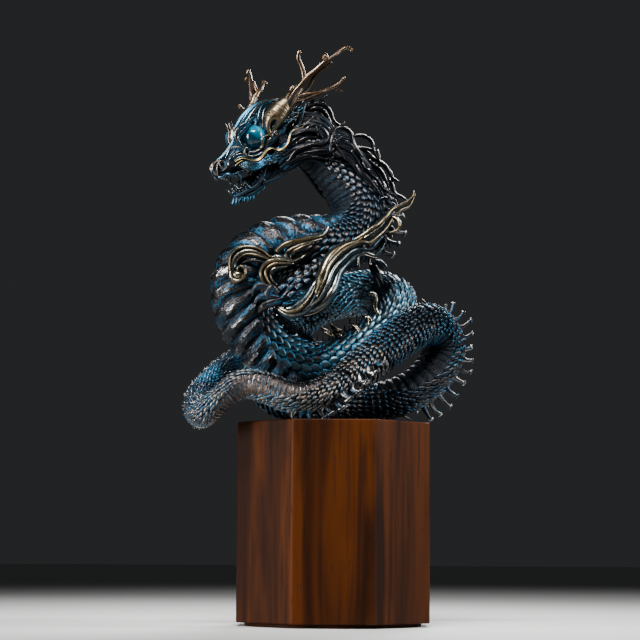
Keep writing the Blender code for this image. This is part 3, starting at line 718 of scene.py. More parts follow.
GILDED_LINE = [
    (28.2, 7, -2.7), (25.6, 7.4, -2.3), (22.8, 8.2, -3.2), (20.3, 9.2, -5.4), (16.8, 10, -6.8),
    (13.7, 11, -6), (10.2, 12.2, -4.2), (8.1, 13, -4.4), (5.9, 13.8, -6.4), (4.3, 15, -7),
    (1.8, 16.5, -6.5), (-0.4, 18, -4.6), (-2.2, 19, -2), (-4.8, 19.5, -0.5), (-8.1, 20, -0.8),
    (-11.4, 20, -1.5)
]


def head_axes():
    """The head's forward, side and up directions. The side direction points to the dragon's left."""
    yaw, pitch, roll = (math.radians(a) for a in (HEAD_YAW, HEAD_PITCH, HEAD_ROLL))
    level = math.cos(pitch)
    forward = -np.array([math.cos(yaw) * level, math.sin(yaw) * level, math.sin(pitch)])
    up = unit([0, 0, 1] - forward * forward[2])
    side = np.cross(up, forward)
    return forward, math.cos(roll) * side + math.sin(roll) * up, math.cos(roll) * up - math.sin(roll) * side


HEAD_FORWARD, HEAD_SIDE, HEAD_UP = head_axes()


def head_place(points, mirror=1):
    """Points given as (forward, side, up) on the head, in the object's frame."""
    return HEAD_ORIGIN + np.asarray(points, float) * [1, mirror, 1] @ [HEAD_FORWARD, HEAD_SIDE, HEAD_UP]


def head_outward(points):
    """Directions away from the skull's long axis."""
    along = ((points - HEAD_ORIGIN) @ HEAD_FORWARD)[:, None]
    return unit(points - (HEAD_ORIGIN + along * HEAD_FORWARD + (3 - 0.2 * along) * HEAD_UP))


def lofted(skin, sections, seed, furrows, power=0.9):
    """A skin over sections: half width * cos and half height * sin, both raised to `power`."""
    places = np.array(sections, float)
    at = np.linspace(places[0, 0], places[-1, 0], 110)
    top, low, wide = natural_spline(places[:, 0], places[:, 1:], at).T[..., None]
    at = at[:, None]
    angle = circle(96)
    c, s = np.cos(angle), np.sin(angle)
    flow = noise(at * 0.22, angle * 6 + at * 0.1, seed) - 0.5
    flow = flow + 0.5 * (noise(at * 0.5, angle * 14 + at * 0.3, seed + 1) - 0.5)
    bump = furrows * flow
    across = (np.maximum(wide, 0.2) + bump) * np.sign(c) * np.abs(c) ** power
    high = (top + low) / 2 + ((top - low) / 2 + bump) * np.sign(s) * np.abs(s) ** power
    grid = np.stack([at + 0 * across, across, high], -1)
    skin.add_tube(head_place(grid), np.clip(0.3 + 1.3 * flow, 0.02, 1), noise(at * 0.1, angle * 2, 9))


def eye_rim(reach, start, end, side, count):
    """Points on an arc about the eye, at `reach` from its middle, between two angles in degrees.

    Angles start at the front and turn upwards; `side` gives how far out the arc lies along it.
    """
    angle, share = np.radians(np.linspace(start, end, count)), np.linspace(0, 1, count)
    sides = np.interp(share, np.linspace(0, 1, len(side)), side)
    return np.stack([EYE_PLACE[0] + reach * np.cos(angle), sides, EYE_PLACE[2] + reach * np.sin(angle)], 1)


def add_teeth(skin, line, count, length, down, random):
    """Small teeth along a line on the head: cones that lean a little, every other one shorter."""
    path, _ = smooth_path(line, count)
    for i, root in enumerate(path):
        size = length * (0.6 + 0.4 * (i % 2)) * random.uniform(0.85, 1.15)
        tip = root + np.array([0.5, 0.25 * np.sign(root[1]), -size if down else size])
        points = head_place(np.array([root - (tip - root) * 0.2, (root + tip) / 2 + [0.15, 0, 0], tip]))
        add_branch(skin, points, (0.75, 0.55, 0.12), random, 0.02, 0.95, 0.3)


# The lines that the teeth stand on, and each fang's root, bend, tip and radius.
UPPER_TEETH = [
    (9.5, 9.6, -10.6), (16, 8.8, -10.6), (22, 7.2, -9.8), (28, 5.6, -8.8), (33, 4.4, -8.2), (36, 2.2, -7.2)]
LOWER_TEETH = [(14, 8, -13), (19, 7.4, -16.4), (25, 5.8, -18.8), (30, 4.2, -19), (32.4, 2, -18.9)]
FANGS = [((28, 5.4, -8.4), (28.6, 6.2, -12), (29.6, 6, -14.6), 0.85),
         ((33, 2, -19), (34.3, 3, -15.6), (34.9, 3, -14.4), 0.6),
         ((25.4, 6.2, -19.8), (27, 6.5, -16.6), (27.3, 6.3, -14.2), 0.75)]
TONGUE = [(0, 0, -13), (10, 0, -15), (20, 0, -15), (26, 0.6, -14), (30, 1, -15.4)]


def head_skin(skin, random):
    """Skull, lower jaw, tongue, teeth and fangs."""
    lofted(skin, SKULL, 21, 0.5)
    lofted(skin, JAW, 23, 0.45)
    add_lock(skin, head_place(TONGUE), 6, 1.6, HEAD_UP, ridges=2, tip=0.3, tint=0.9)
    for mirror in (1, -1):
        add_teeth(skin, np.array(UPPER_TEETH) * [1, mirror, 1], 15, 1.9, True, random)
        add_teeth(skin, np.array(LOWER_TEETH) * [1, mirror, 1], 11, 1.7, False, random)
        for *points, radius in FANGS:
            radii = (radius, radius * 0.75, 0.12)
            add_branch(skin, head_place(points, mirror), radii, random, 0.02, 0.78, 0.25)


# The nose's round tip, the upper and lower edge of the lip's folds, and the leaf before the far eye.
NOSE_TIP = [[(38.7, 0.9, -5), (38.7, 1, -3), (37.6, 1.4, -0.6), (35.6, 2, 0.7), (33, 2.6, 1)],
            [(38.3, 1.8, -5.4), (38, 2.6, -3.6), (36.6, 3.4, -1), (35, 3.6, 0.4), (33, 3.8, 0)]]
FOLDS_HIGH = [(26.4, 7, -4.8), (22.8, 8, -5.2), (18.6, 9, -7.8), (14.2, 10, -7.6), (10.8, 11, -6)]
FOLDS_LOW = [(26.2, 7, -6.6), (22.4, 8.4, -9.4), (17.6, 9.6, -10.6), (13.2, 10.6, -10), (10, 11.4, -9.4)]
FAR_LEAF = [
    (19.3, 2.5, 2.6), (18.7, 4.2, 6), (17.4, 5.2, 8.5), (15.1, 6.2, 11), (14.7, 6.6, 13.8), (14.5, 7, 16)]
# Ragged hair below the gilded line and behind the eye: first and last root, step up from row to row,
# rows, and tufts in a row.
CHEEK_HAIR = [((9.5, 11.6, -8.6), (-16, 14.2, -2), -2.3, 5, 12), ((5, 12.8, 1.2), (-14, 15, 5), 1.6, 3, 9)]


def face_ridges(skin, random):
    """Brows, eyelids, bridge of the nose, nostrils, cheeks and chin, as bands that flow over the face."""
    for mirror in (1, -1):
        def band(points, width, thick, **more):
            add_lock(skin, head_place(points, mirror), width, thick, head_outward, **more)

        def tuft(start, way, raised, width, thick, low):
            way = np.array(way)
            points = [start, start + way / 2 + raised, start + way]
            band(points, width, thick, tint=random.random(), low=low)

        # the dark rim that seats the eye, then lids and brows, nose and lips
        band(eye_rim(8, -160, 120, (8.4, 7, 8), 10), 2.2, 2, root=0.6, tip=0.4, tint=0.2, low=0.05)
        for bands, widen, low in ((BROWS if mirror == 1 else BROWS[3:], 1.35, 0.35), (MUZZLE, 1.25, 0.3)):
            for points, width, thick, tint in bands:
                band(points, width * widen, thick, root=0.45, tip=0.3, tint=tint, low=low)
        # nostril: a raised ring about a hollow
        ring = [(34.4 + 1.6 * math.cos(a), 4.4 - 0.3 * math.cos(a), -1.6 + 2 * math.sin(a))
                for a in np.radians(np.linspace(-150, 150, 9))]
        band(ring, 1.2, 1.4, root=0.8, tip=0.7, tint=0.9, low=0.4)
        for points in NOSE_TIP:
            band(points, 1.9, 1.3, root=0.6, tip=0.3, tint=0.9, low=0.45)
        # folds of the lip below the gilded line, then short hair combed back over them
        for share in np.linspace(0, 1, 6):
            fold = (1 - share) * np.array(FOLDS_LOW) + share * np.array(FOLDS_HIGH) + [0, 1.2, 0]
            band(fold, 0.85, 1.3, tint=0.2, root=0.3, tip=0.3, low=0)
        for row in range(3):
            for share in np.linspace(0, 1, 6):
                start = np.array([16.5, 10, -8]) + share * np.array([-12.5, 3, 0.6])
                start = start + [-0.8 * row, 0.2 * row, -1.3 * row] + random.normal(0, 0.25, 3)
                tuft(start, [-3.8, 1.2, -1.3 + random.normal(0, 0.5)], [0, 0.6, 0.2], 1.5, 1.1, 0)
        for first, last, step, rows, count in CHEEK_HAIR:
            for row in range(rows):
                for share in np.linspace(0, 1, count):
                    start = (1 - share) * np.array(first) + share * np.array(last)
                    start = start + [-0.9 * row, 0.15 * row, step * row] + random.normal(0, 0.35, 3)
                    tuft(start, [-4.6, 1.5, 0.4 + random.normal(0, 1)], [0, 0.7, 0.5], 1.6, 1, 0.05)
    for width, thick, shift in ((5, 1.4, 0), (1.8, 2, 1.6), (1.8, 1.8, -1.4)):
        leaf = head_place(np.array(FAR_LEAF) + [shift, 0.3 * shift, 0], -1)
        add_lock(skin, leaf, width, thick, (-0.2, -1, 0.2), root=0.4, tip=0.12, tint=0.9, low=0.25)


CHIN_TIPS = [
    (35.6, 0.8, -24.2), (34.3, 2.2, -24.8), (32, 3.4, -24.2), (29.8, 4.8, -25.3), (26.7, 6.2, -25.8),
    (23.6, 7.2, -24.2), (20.6, 8, -23.2)]


def chin_beard(skin, random):
    """Broad pointed tufts that fan forwards and down from the chin and along the jaw."""
    for mirror in (1, -1):
        facing = -0.3 * HEAD_UP + 0.5 * HEAD_FORWARD + mirror * HEAD_SIDE
        for tip in np.array(CHIN_TIPS):
            root = tip * [1, 0.62, 0] + [-3.4, 0, -20.2]
            bend = (root + tip) / 2 + [0.5, 0.5, -0.4]
            small = tip + [1.4 + random.normal(0, 0.2), -0.5, 1.2]
            for points, width, thick, ridges in (([root, bend, tip], 3.1, 1.3, 2), (
                    [root + [1.2, 0, 0], bend + [1.2, -0.4, 0.5], small], 1.8, 1, 1)):
                add_lock(skin, head_place(points, mirror), width, thick, facing, ridges, root=0.8, tip=0.05,
                         tint=0.15, low=0.3)


LOWER_LINE = [(29, 6.2, -4.8), (26.2, 6.9, -3.7), (23.5, 7.7, -4), (21.2, 8.2, -5.9)]


def gilded_lips(skin, _):
    """A gilded line from the muzzle over the cheek to the jaw's mane, and a short one below its front."""
    for mirror in (1, -1):
        add_lock(skin, head_place(GILDED_LINE, mirror), 1.15, 1.4, head_outward, root=0.5, tip=0.3,
                 tint=0.6, low=0.35)
        add_lock(skin, head_place(LOWER_LINE, mirror), 1, 1.1, head_outward, root=0.3, tip=0.2, tint=0.4)


def crown(skin, _):
    """Bands over the forehead, which rise from behind the brows and run back between the antlers."""
    for mirror in (1, -1):
        for i, points in enumerate(CROWN):
            add_lock(skin, head_place(points, mirror), 2.3, 1.6, head_outward, root=0.4, tip=0.3,
                     tint=0.9 if i % 2 else 0.1, low=0.25)


RIB_HEIGHT = 0.01
RIB_PITCH = 1.3


def ribbed_root(skin, points, radii, flat, dent=None, depth=3.2, across=(4, 2.5)):
    """An antler's swollen root: a tube with fine ribs round it, r (1 + a sin(2 pi d / pitch)).

    A hollow may be pressed in its side: points near `dent` move towards the path by depth exp(-q), where q
    grows with distance along and across the path. The relief is lowered in the hollow as well, which paints
    shade there.
    """
    length = distances(points)[-1]
    count = round(length / 0.3)
    path, tangents = smooth_path(points, count)
    t = np.linspace(0, 1, count)[:, None]
    up = square_to(tangents, (0, -1, 0))
    side = np.cross(tangents, up)
    angle = circle(48)
    radius = natural_spline(np.linspace(0, 1, len(radii)), np.array(radii, float)[:, None], t[:, 0])
    grain = noise(t * length * 0.9, 2 * np.cos(angle) + 3, 8) - 0.5
    ribs = RIB_HEIGHT * np.sin(2 * math.pi * t * length / RIB_PITCH + 1.5 * np.cos(angle)) + 0.06 * grain
    way = flat * np.cos(angle)[..., None] * side[:, None] + np.sin(angle)[..., None] * up[:, None]
    relief = 0.84 + 2.5 * ribs
    rings = path[:, None] + (radius * (1 + ribs))[..., None] * way
    if dent is not None:
        offset = rings - np.asarray(dent, float)
        along = np.einsum("ijk,ik->ij", offset, tangents)
        rest = np.linalg.norm(offset - along[..., None] * tangents[:, None], axis=2)
        pressed = np.exp(-((along / across[0]) ** 2 + (rest / across[1]) ** 2) ** 1.5)
        rings = rings - depth * pressed[..., None] * way
        # painted shade: the hollow's relief drops towards 0, so it is coloured near black
        relief = relief * (1 - 1.6 * pressed)
    skin.add_tube(rings, np.clip(relief, 0, 1), 0.25 + 0.5 * np.sin(angle) ** 2)


NEAR_ANTLER = [
    ([(-27.2, -20, 270.6), (-24.5, -20.5, 275.6), (-21.1, -20, 281.4), (-18.1, -19.5, 285.3),
     (-15.8, -19, 288.7), (-11.7, -18, 292.5), (-6.2, -17, 297.7), (-0.7, -15.5, 301.9), (3.7, -13.5, 306),
     (5.8, -13, 307), (8.9, -12, 306)], (2.4, 2.2, 1.8, 1.55, 1.5, 1.35, 1.3, 1.15, 1, 0.95, 0.8)),
    ([(-20.9, -18, 280.4), (-16.7, -16, 281.8), (-13.5, -16, 285.8), (-10.8, -16, 291.1),
     (-7.1, -15.5, 294.6), (-2, -15, 298.5)], (1, 0.9, 0.9, 0.8, 0.7, 0.5)),
    ([(-16.5, -19, 287.7), (-17, -19.5, 291.4), (-18.8, -20.5, 296.3), (-19.8, -21.5, 299.4),
     (-19.2, -22.5, 302.4)], (1.5, 1.25, 1.15, 1.05, 0.8)),
    ([(-22.7, -19, 277.8), (-19, -17, 280.2), (-13.1, -13, 282.1), (-6.6, -9, 284.2), (-1.5, -6.5, 286.7),
     (1.7, -5.5, 288.9), (4.5, -4.5, 292.5)], (1.5, 1.3, 1.1, 1.1, 1.1, 1, 0.7)),
    ([(-21.7, -18, 276.2), (-15.4, -14, 278.9), (-10.8, -11.5, 281.4), (-5.2, -9, 284)],
     (1.1, 1, 0.9, 0.8)),
    ([(-1, -6.5, 286.5), (1.8, -6, 285.7), (3.9, -5.5, 284.6)], (1, 0.8, 0.6)),
    ([(-6.2, -17, 297.9), (-5.8, -17.4, 299.6), (-5.6, -17.5, 300.9)], (1, 0.9, 0.9)),
]
FAR_ANTLER = [
    ([(-45, 1, 281), (-45.4, 1, 282.8), (-46.1, 3, 287.1), (-46.5, 6, 292.1), (-46.8, 9, 296.2),
     (-47.6, 12, 300.3)], (2, 1.7, 1.5, 1.4, 1.2, 0.8)),
    ([(-43.6, 1.5, 283), (-42, 3, 286.2), (-40.7, 6, 288.8), (-40, 9, 291.9), (-39.1, 11, 294.1),
     (-38.2, 12, 292.6)], (1.9, 1.6, 1.3, 1.2, 1.1, 0.7)),
    ([(-42.4, 2.5, 285.1), (-43.9, 4.5, 289.4), (-45, 7, 293.3)], (1.2, 1.1, 0.8)),
    ([(-49.5, 0, 275), (-51.5, -0.5, 277), (-52, -0.5, 279)], (1.2, 1, 0.7)),
]
ANTLER_KNOBS = [
    ((-5.6, -17.5, 300.9), 1.9), ((-23.1, -21, 282.8), 1.5), ((-47.7, 12, 299.8), 1.5),
    ((-48.5, 9, 295), 1.3), ((8.6, -12, 306.1), 1.1), ((-38.4, 12, 293), 1.2), ((-19.3, -22.4, 302), 1.2),
    ((4.6, -4.6, 292.2), 1)
]
NEAR_ROOT = [
    (5.4, 12.6, 1.4), (3.6, 13.2, 4.8), (0.6, 13.6, 8), (-3.4, 14, 10.4), (-7.4, 14.4, 12),
    (-11.2, 14.8, 13.2), (-16.5, 15, 15.4), (-21.5, 15, 17.6)
]
FAR_ROOT = [
    (-49.5, -5.5, 264), (-49.5, -3.5, 268), (-47.5, -1.5, 273), (-45.4, 0.5, 278), (-44.3, 1.5, 281.5),
    (-43.8, 2, 284)
]
EYE_HOLLOW = (3.6, 17.4, 5.8)


def antlers(skin, random):
    """Two branched antlers with furrowed bark and knobs, on swollen ribbed roots."""
    for points, radii in NEAR_ANTLER + FAR_ANTLER:
        add_branch(skin, points, radii, random, 0.16, 0.74, 0.8)
    for place, radius in ANTLER_KNOBS:
        ends = np.array(place) + np.array([[-0.5, 0, -1], [0, 0, 0], [0.5, 0, 1]]) * radius
        add_branch(skin, ends, (radius * 0.5, radius, radius * 0.5), random, 0.08, 0.8, 1)


def antler_roots(skin, _):
    """The swollen roots of both antlers, the near one hollowed behind the eye."""
    near_radii = (1.2, 3.2, 4.8, 5, 4.4, 3.6, 3, 2.5)
    ribbed_root(skin, head_place(NEAR_ROOT), near_radii, 1.1, head_place(EYE_HOLLOW))
    ribbed_root(skin, FAR_ROOT, (4.6, 4.5, 4, 3.1, 2.6, 2), 0.85)


# ---- the mane and the leg

# Arcs that spring up behind the near antler and curl down over the nape.
MANE_ARCS = [
    [(-18.9, -7.9, 272.9), (-15.4, -8.2, 275.4), (-11.9, -8, 277), (-7.9, -7.7, 277.4), (-4.4, -6.8, 275.7),
     (-1.9, -5.4, 271.9), (0.1, -4.2, 268.1), (3.2, -3.8, 266.8)],
    [(-18.4, -7.1, 270.3), (-14.6, -7.5, 273.3), (-11.4, -7.4, 274.7), (-8.2, -6.9, 274.5),
     (-5.5, -6.1, 272.8), (-3.6, -5, 269.8), (-1.7, -3.9, 266.2), (1, -3.1, 264.2)],
    [(-17.2, -10, 266.4), (-14.1, -7.7, 270.7), (-10.9, -7.6, 272.1), (-8.2, -7.1, 271.7),
     (-6.6, -6.3, 269.7), (-5.5, -6.8, 266.5), (-3.8, -10, 262)],
    [(-17.1, -15.4, 263.1), (-14, -11.2, 267.2), (-11.4, -8.5, 269.3), (-9.2, -8.5, 268.6),
     (-8.1, -11.2, 264.8), (-7, -13.3, 260.3)],
    [(-16, -15.9, 260.8), (-13.4, -13.8, 263.5), (-11, -12.2, 264.4), (-9.7, -13.2, 262),
     (-9.1, -14.7, 257.9)],
]
# The hair under and between the arcs.
MANE_SHEETS = [
    ([[(-24, -11, 269), (-19, -9, 272), (-13, -7, 273.5), (-7, -5, 272.5), (-2, -3, 267), (4, -1.5, 262)],
     [(-24, -13.5, 264), (-19, -13, 267), (-12, -11, 268), (-6, -10.5, 265.5), (-2, -10, 261),
     (0, -10, 256)], [(-26, -15.5, 257), (-21, -16, 259), (-14, -15.5, 261), (-8, -14.5, 259),
     (-5, -14, 255), (-2, -13.5, 251)]], 8, 3, 1),
    ([[(-30, -15, 246), (-22, -17, 251), (-12, -16.5, 254), (-4, -14.5, 257), (3, -12.5, 261),
     (9, -8, 258)], [(-30, -14.5, 243), (-23, -16, 246.5), (-14, -16.5, 250), (-6, -15.5, 251),
     (-1, -14, 253), (2, -12.5, 260)], [(-29, -12, 239), (-23, -13.5, 241.5), (-17, -14.5, 245),
     (-11, -14.5, 245.5), (-6, -14, 243), (-3, -13.5, 240)]], 7, 2.6, 1.1),
    ([[(2, -9, 259), (8, -6.5, 257), (12, -3, 254), (17, -1, 252), (21, 1, 250), (24, 3, 247)],
     [(1, -11.5, 255), (8, -8.5, 254), (13, -5.5, 250.5), (19, -2, 246), (24, 0, 241), (27, 1, 236)],
     [(0, -13, 251), (6, -12, 250.5), (11, -9.5, 247), (17, -6, 241), (22, -3, 235), (26, -1, 228)],
     [(-1, -14, 249), (5, -13.5, 247.5), (10, -12.5, 243), (15, -10.5, 236.5), (20, -8.5, 230),
     (23, -6, 223)]], 11, 2.9, 1),
]
# Single locks: width, thickness, root, tip and points. Rings curl over the nape; combs run down the neck.
MANE_LOCKS = [
    (1.5, 1.4, 0.7, 0.15, [(-8.5, -7.8, 277.5), (-7, -8.1, 279.5), (-4, -8.6, 282.2)]),
    (1.4, 1.2, 0.7, 0.15, [(-14.1, -8.6, 277.3), (-12.5, -8.3, 278.6), (-10.9, -8.7, 280.3)]),
    (2, 1.6, 0.7, 0.5, [(-2.8, -15.4, 249.7), (-2.6, -15.2, 253.7), (-1.8, -13.6, 258.1),
     (0.1, -9.5, 263.1), (3.6, -6.5, 264.7), (7.2, -5.5, 263.3), (9.2, -6, 260.4), (9.7, -7.5, 256.4),
     (12.2, -9.4, 252), (14.8, -10.4, 248)]),
    (1.5, 1.3, 0.8, 0.3, [(0.1, -5.2, 268.1), (1.6, -5.2, 266.6), (3.6, -5, 266.3), (4.9, -5, 268.4)]),
    (1.8, 1.6, 0.6, 0.4, [(8.6, -3.7, 259), (10.2, -4.1, 260.4), (13.3, -4, 261.1), (17.2, -3.8, 259.9),
     (19.8, -3.4, 257.4), (20.6, -3, 253.5), (22.7, -3, 249.2), (25.4, -3.2, 245.4)]),
    (1.8, 1.4, 0.6, 0.2, [(8.5, -11.2, 250.1), (12.3, -5, 253.8), (17.2, -2.6, 254), (21.3, -2.4, 252.6),
     (23.3, -2.2, 249.5), (23.9, -2, 246.9)]),
    (1.7, 1.3, 0.7, 0.2, [(22.6, -2.4, 253.7), (23.3, -2.1, 250.4), (23.9, -1.8, 246.1),
     (23.4, -1.3, 240.9)]),
    (2, 1.5, 0.7, 0.45, [(19.9, -1.6, 250), (24.3, -1.9, 246.9), (27.4, -2.1, 244.4), (29.4, -2.1, 240.8),
     (31.8, -2.2, 237.7), (34.5, -2.3, 236.2)]),
    (1.7, 1.3, 0.7, 0.2, [(26.4, -1.5, 244.5), (30.4, -1.8, 240.3), (30.9, -1.7, 237.3),
     (28.4, -1.4, 233.2)]),
    (1.8, 1.3, 0.7, 0.2, [(25.9, -1.4, 235.8), (27.8, -3.6, 230.5), (29.9, -2, 227.5), (31.5, -1.6, 225)]),
    (1.9, 1.4, 0.7, 0.3, [(29.1, -1.5, 237.9), (30.9, -1.6, 234.2), (32.4, -1.7, 229.7), (35.9, -1.9, 228),
     (38.9, -2, 226)]),
    (2.2, 1.5, 0.6, 0.15, [(0, -13.7, 253.4), (4.2, -12.4, 252.4), (8, -11.6, 249.9), (10.2, -11.2, 247.7),
     (12.7, -11.2, 244.1), (15.5, -11.2, 239.9)]),
    (2.2, 1.4, 0.6, 0.15, [(4.2, -9.4, 257.1), (8.2, -6.8, 255.8), (10.5, -7.7, 252.7), (11.8, -8.2, 250.4),
     (13.9, -8.6, 247), (16.6, -8.8, 243.2)]),
    (2.1, 1.3, 0.6, 0.15, [(11.2, -12, 243.5), (14.7, -12.4, 238.3), (17.7, -12, 235.4),
     (20.7, -11.5, 232.4), (23, -10.8, 229.7), (24.6, -10.2, 227.1)]),
    (2.1, 1.3, 0.6, 0.15, [(14.5, -9.6, 245.2), (17.1, -9.9, 240.7), (19.8, -9.2, 238.2), (22.3, -8, 236.3),
     (24.7, -6.8, 233.2), (26.4, -5.4, 231.1)]),
    (2, 1.3, 0.6, 0.15, [(18.3, -2.8, 248.4), (21, -2.6, 245.1), (24.3, -2.6, 242.3), (26.4, -2.6, 239),
     (28.1, -2.6, 235.2), (29.1, -2.6, 231.4)]),
    (2, 1.4, 0.6, 0.15, [(-7, -11.4, 263.8), (-3.8, -12.6, 259.7), (-2.2, -13.6, 256.2), (0.5, -13.8, 253),
     (3.2, -14, 249.2), (5.9, -14, 245.4)]),
    (2, 1.7, 0.6, 0.3, [(-28.1, -13.5, 243.5), (-25.3, -14.5, 244.5), (-23, -16.4, 247.1),
     (-20.8, -17.8, 249.5), (-16.9, -18.2, 251.3), (-11.6, -17.8, 253.2), (-5.4, -16.4, 254.4),
     (-3.3, -14.3, 258.3), (-2.2, -12, 261)]),
    (1.8, 1.5, 0.6, 0.3, [(-25.1, -11.8, 242.2), (-22.7, -12.8, 244.3), (-20.4, -14.9, 246.6),
     (-16, -16.5, 248.6), (-11.6, -16.7, 249.4), (-5.3, -16.2, 250.4), (-1.1, -15.4, 249.4),
     (2.7, -14.8, 246.8)]),
    (1.8, 1.5, 0.6, 0.3, [(-22.8, -8.5, 241.4), (-20.3, -10.5, 243.7), (-18.1, -13.2, 245.5),
     (-13.9, -14.9, 246.6), (-9, -15.4, 246.7), (-4.8, -15.2, 245.7)]),
    (2.4, 1.3, 0.5, 0.1, [(-25, -18.6, 252.8), (-21.8, -18.6, 255.1), (-18.7, -18, 256.8),
     (-15.5, -17.2, 257.5)]),
    (2.4, 1.3, 0.5, 0.1, [(-20.8, -18.4, 253.5), (-17.1, -18, 255.8), (-12.8, -17, 257.1),
     (-8.6, -15.6, 256.9)]),
    (1.6, 1.2, 0.5, 0.2, [(-23, -16, 263), (-20.5, -11.5, 270), (-18.9, -10, 275.5)]),
]
# The neck's back edge below the mane, which short leaves fringe.
NAPE_EDGE = [
    (27, -3, 232), (28.5, -4, 226), (28.5, -4.5, 219), (28, -5, 212), (26.5, -5.5, 205), (24, -7, 199)
]
# Locks on the far side: shares of the body's length and angles from the crest, from root to tip.
FAR_MANE = [
    ((0, 0.085), (15, 0)), ((0, 0.105), (-18, -38)), ((0.005, 0.11), (-55, -70)),
    ((0.01, 0.09), (-95, -108)), ((0.012, 0.06), (-128, -135))
]


def mane(skin, random):
    """Arcs behind the antlers, sheets of hair under them, and curls that stand off the neck."""
    for guides, count, width, thick in MANE_SHEETS:
        add_combed(skin, guides, count, width, thick, away_from_body, random, wave=0.7, root=0.5, tip=0.15,
                   ridges=2, low=0.05)
    for points in MANE_ARCS:
        add_lock(skin, points, 2.6, 2, (0.1, -1, 0.3), tint=0.6, root=0.5, tip=0.2)
    for width, thick, root, tip, points in MANE_LOCKS:
        add_lock(skin, points, 1.25 * width, 1.1 * thick, (0.1, -1, 0.15), tint=random.random(), root=root,
                 tip=tip)


def crest_leaves(skin, random):
    """Short curled leaves that fringe the neck's back edge, in three rows."""
    for row in range(3):
        for root, way in zip(*smooth_path(NAPE_EDGE, 13)):
            out = unit(np.array([1, -0.15, -0.15]) - 0.35 * row * np.array([1, 1.2, 0]))
            root = root + [-1.8 * row, -1 * row, random.normal(0, 0.8)]
            length = random.uniform(3.6, 6.4)
            tip = root + 0.62 * length * way + 0.85 * length * out
            bend = root + 0.1 * length * way + 0.6 * length * out
            add_lock(skin, [root - 2.5 * out, root, bend, tip], 2.4, 1.1, (0.3, -1, 0.2), ridges=2,
                     root=0.8, tip=0.12, tint=random.random(), low=0.15)


def far_mane(skin, random):
    """Locks that lie on the nape and the neck's far side, laid out along the body and round it."""
    guides = [on_body(np.linspace(*shares, 6) * BODY_LENGTH, np.radians(np.linspace(*angles, 6)),
                      np.linspace(1.6, 2.4, 6)) for shares, angles in FAR_MANE]
    add_combed(skin, guides, 17, 3, 1.6, away_from_body, random, wave=1.2, root=0.5, tip=0.1)


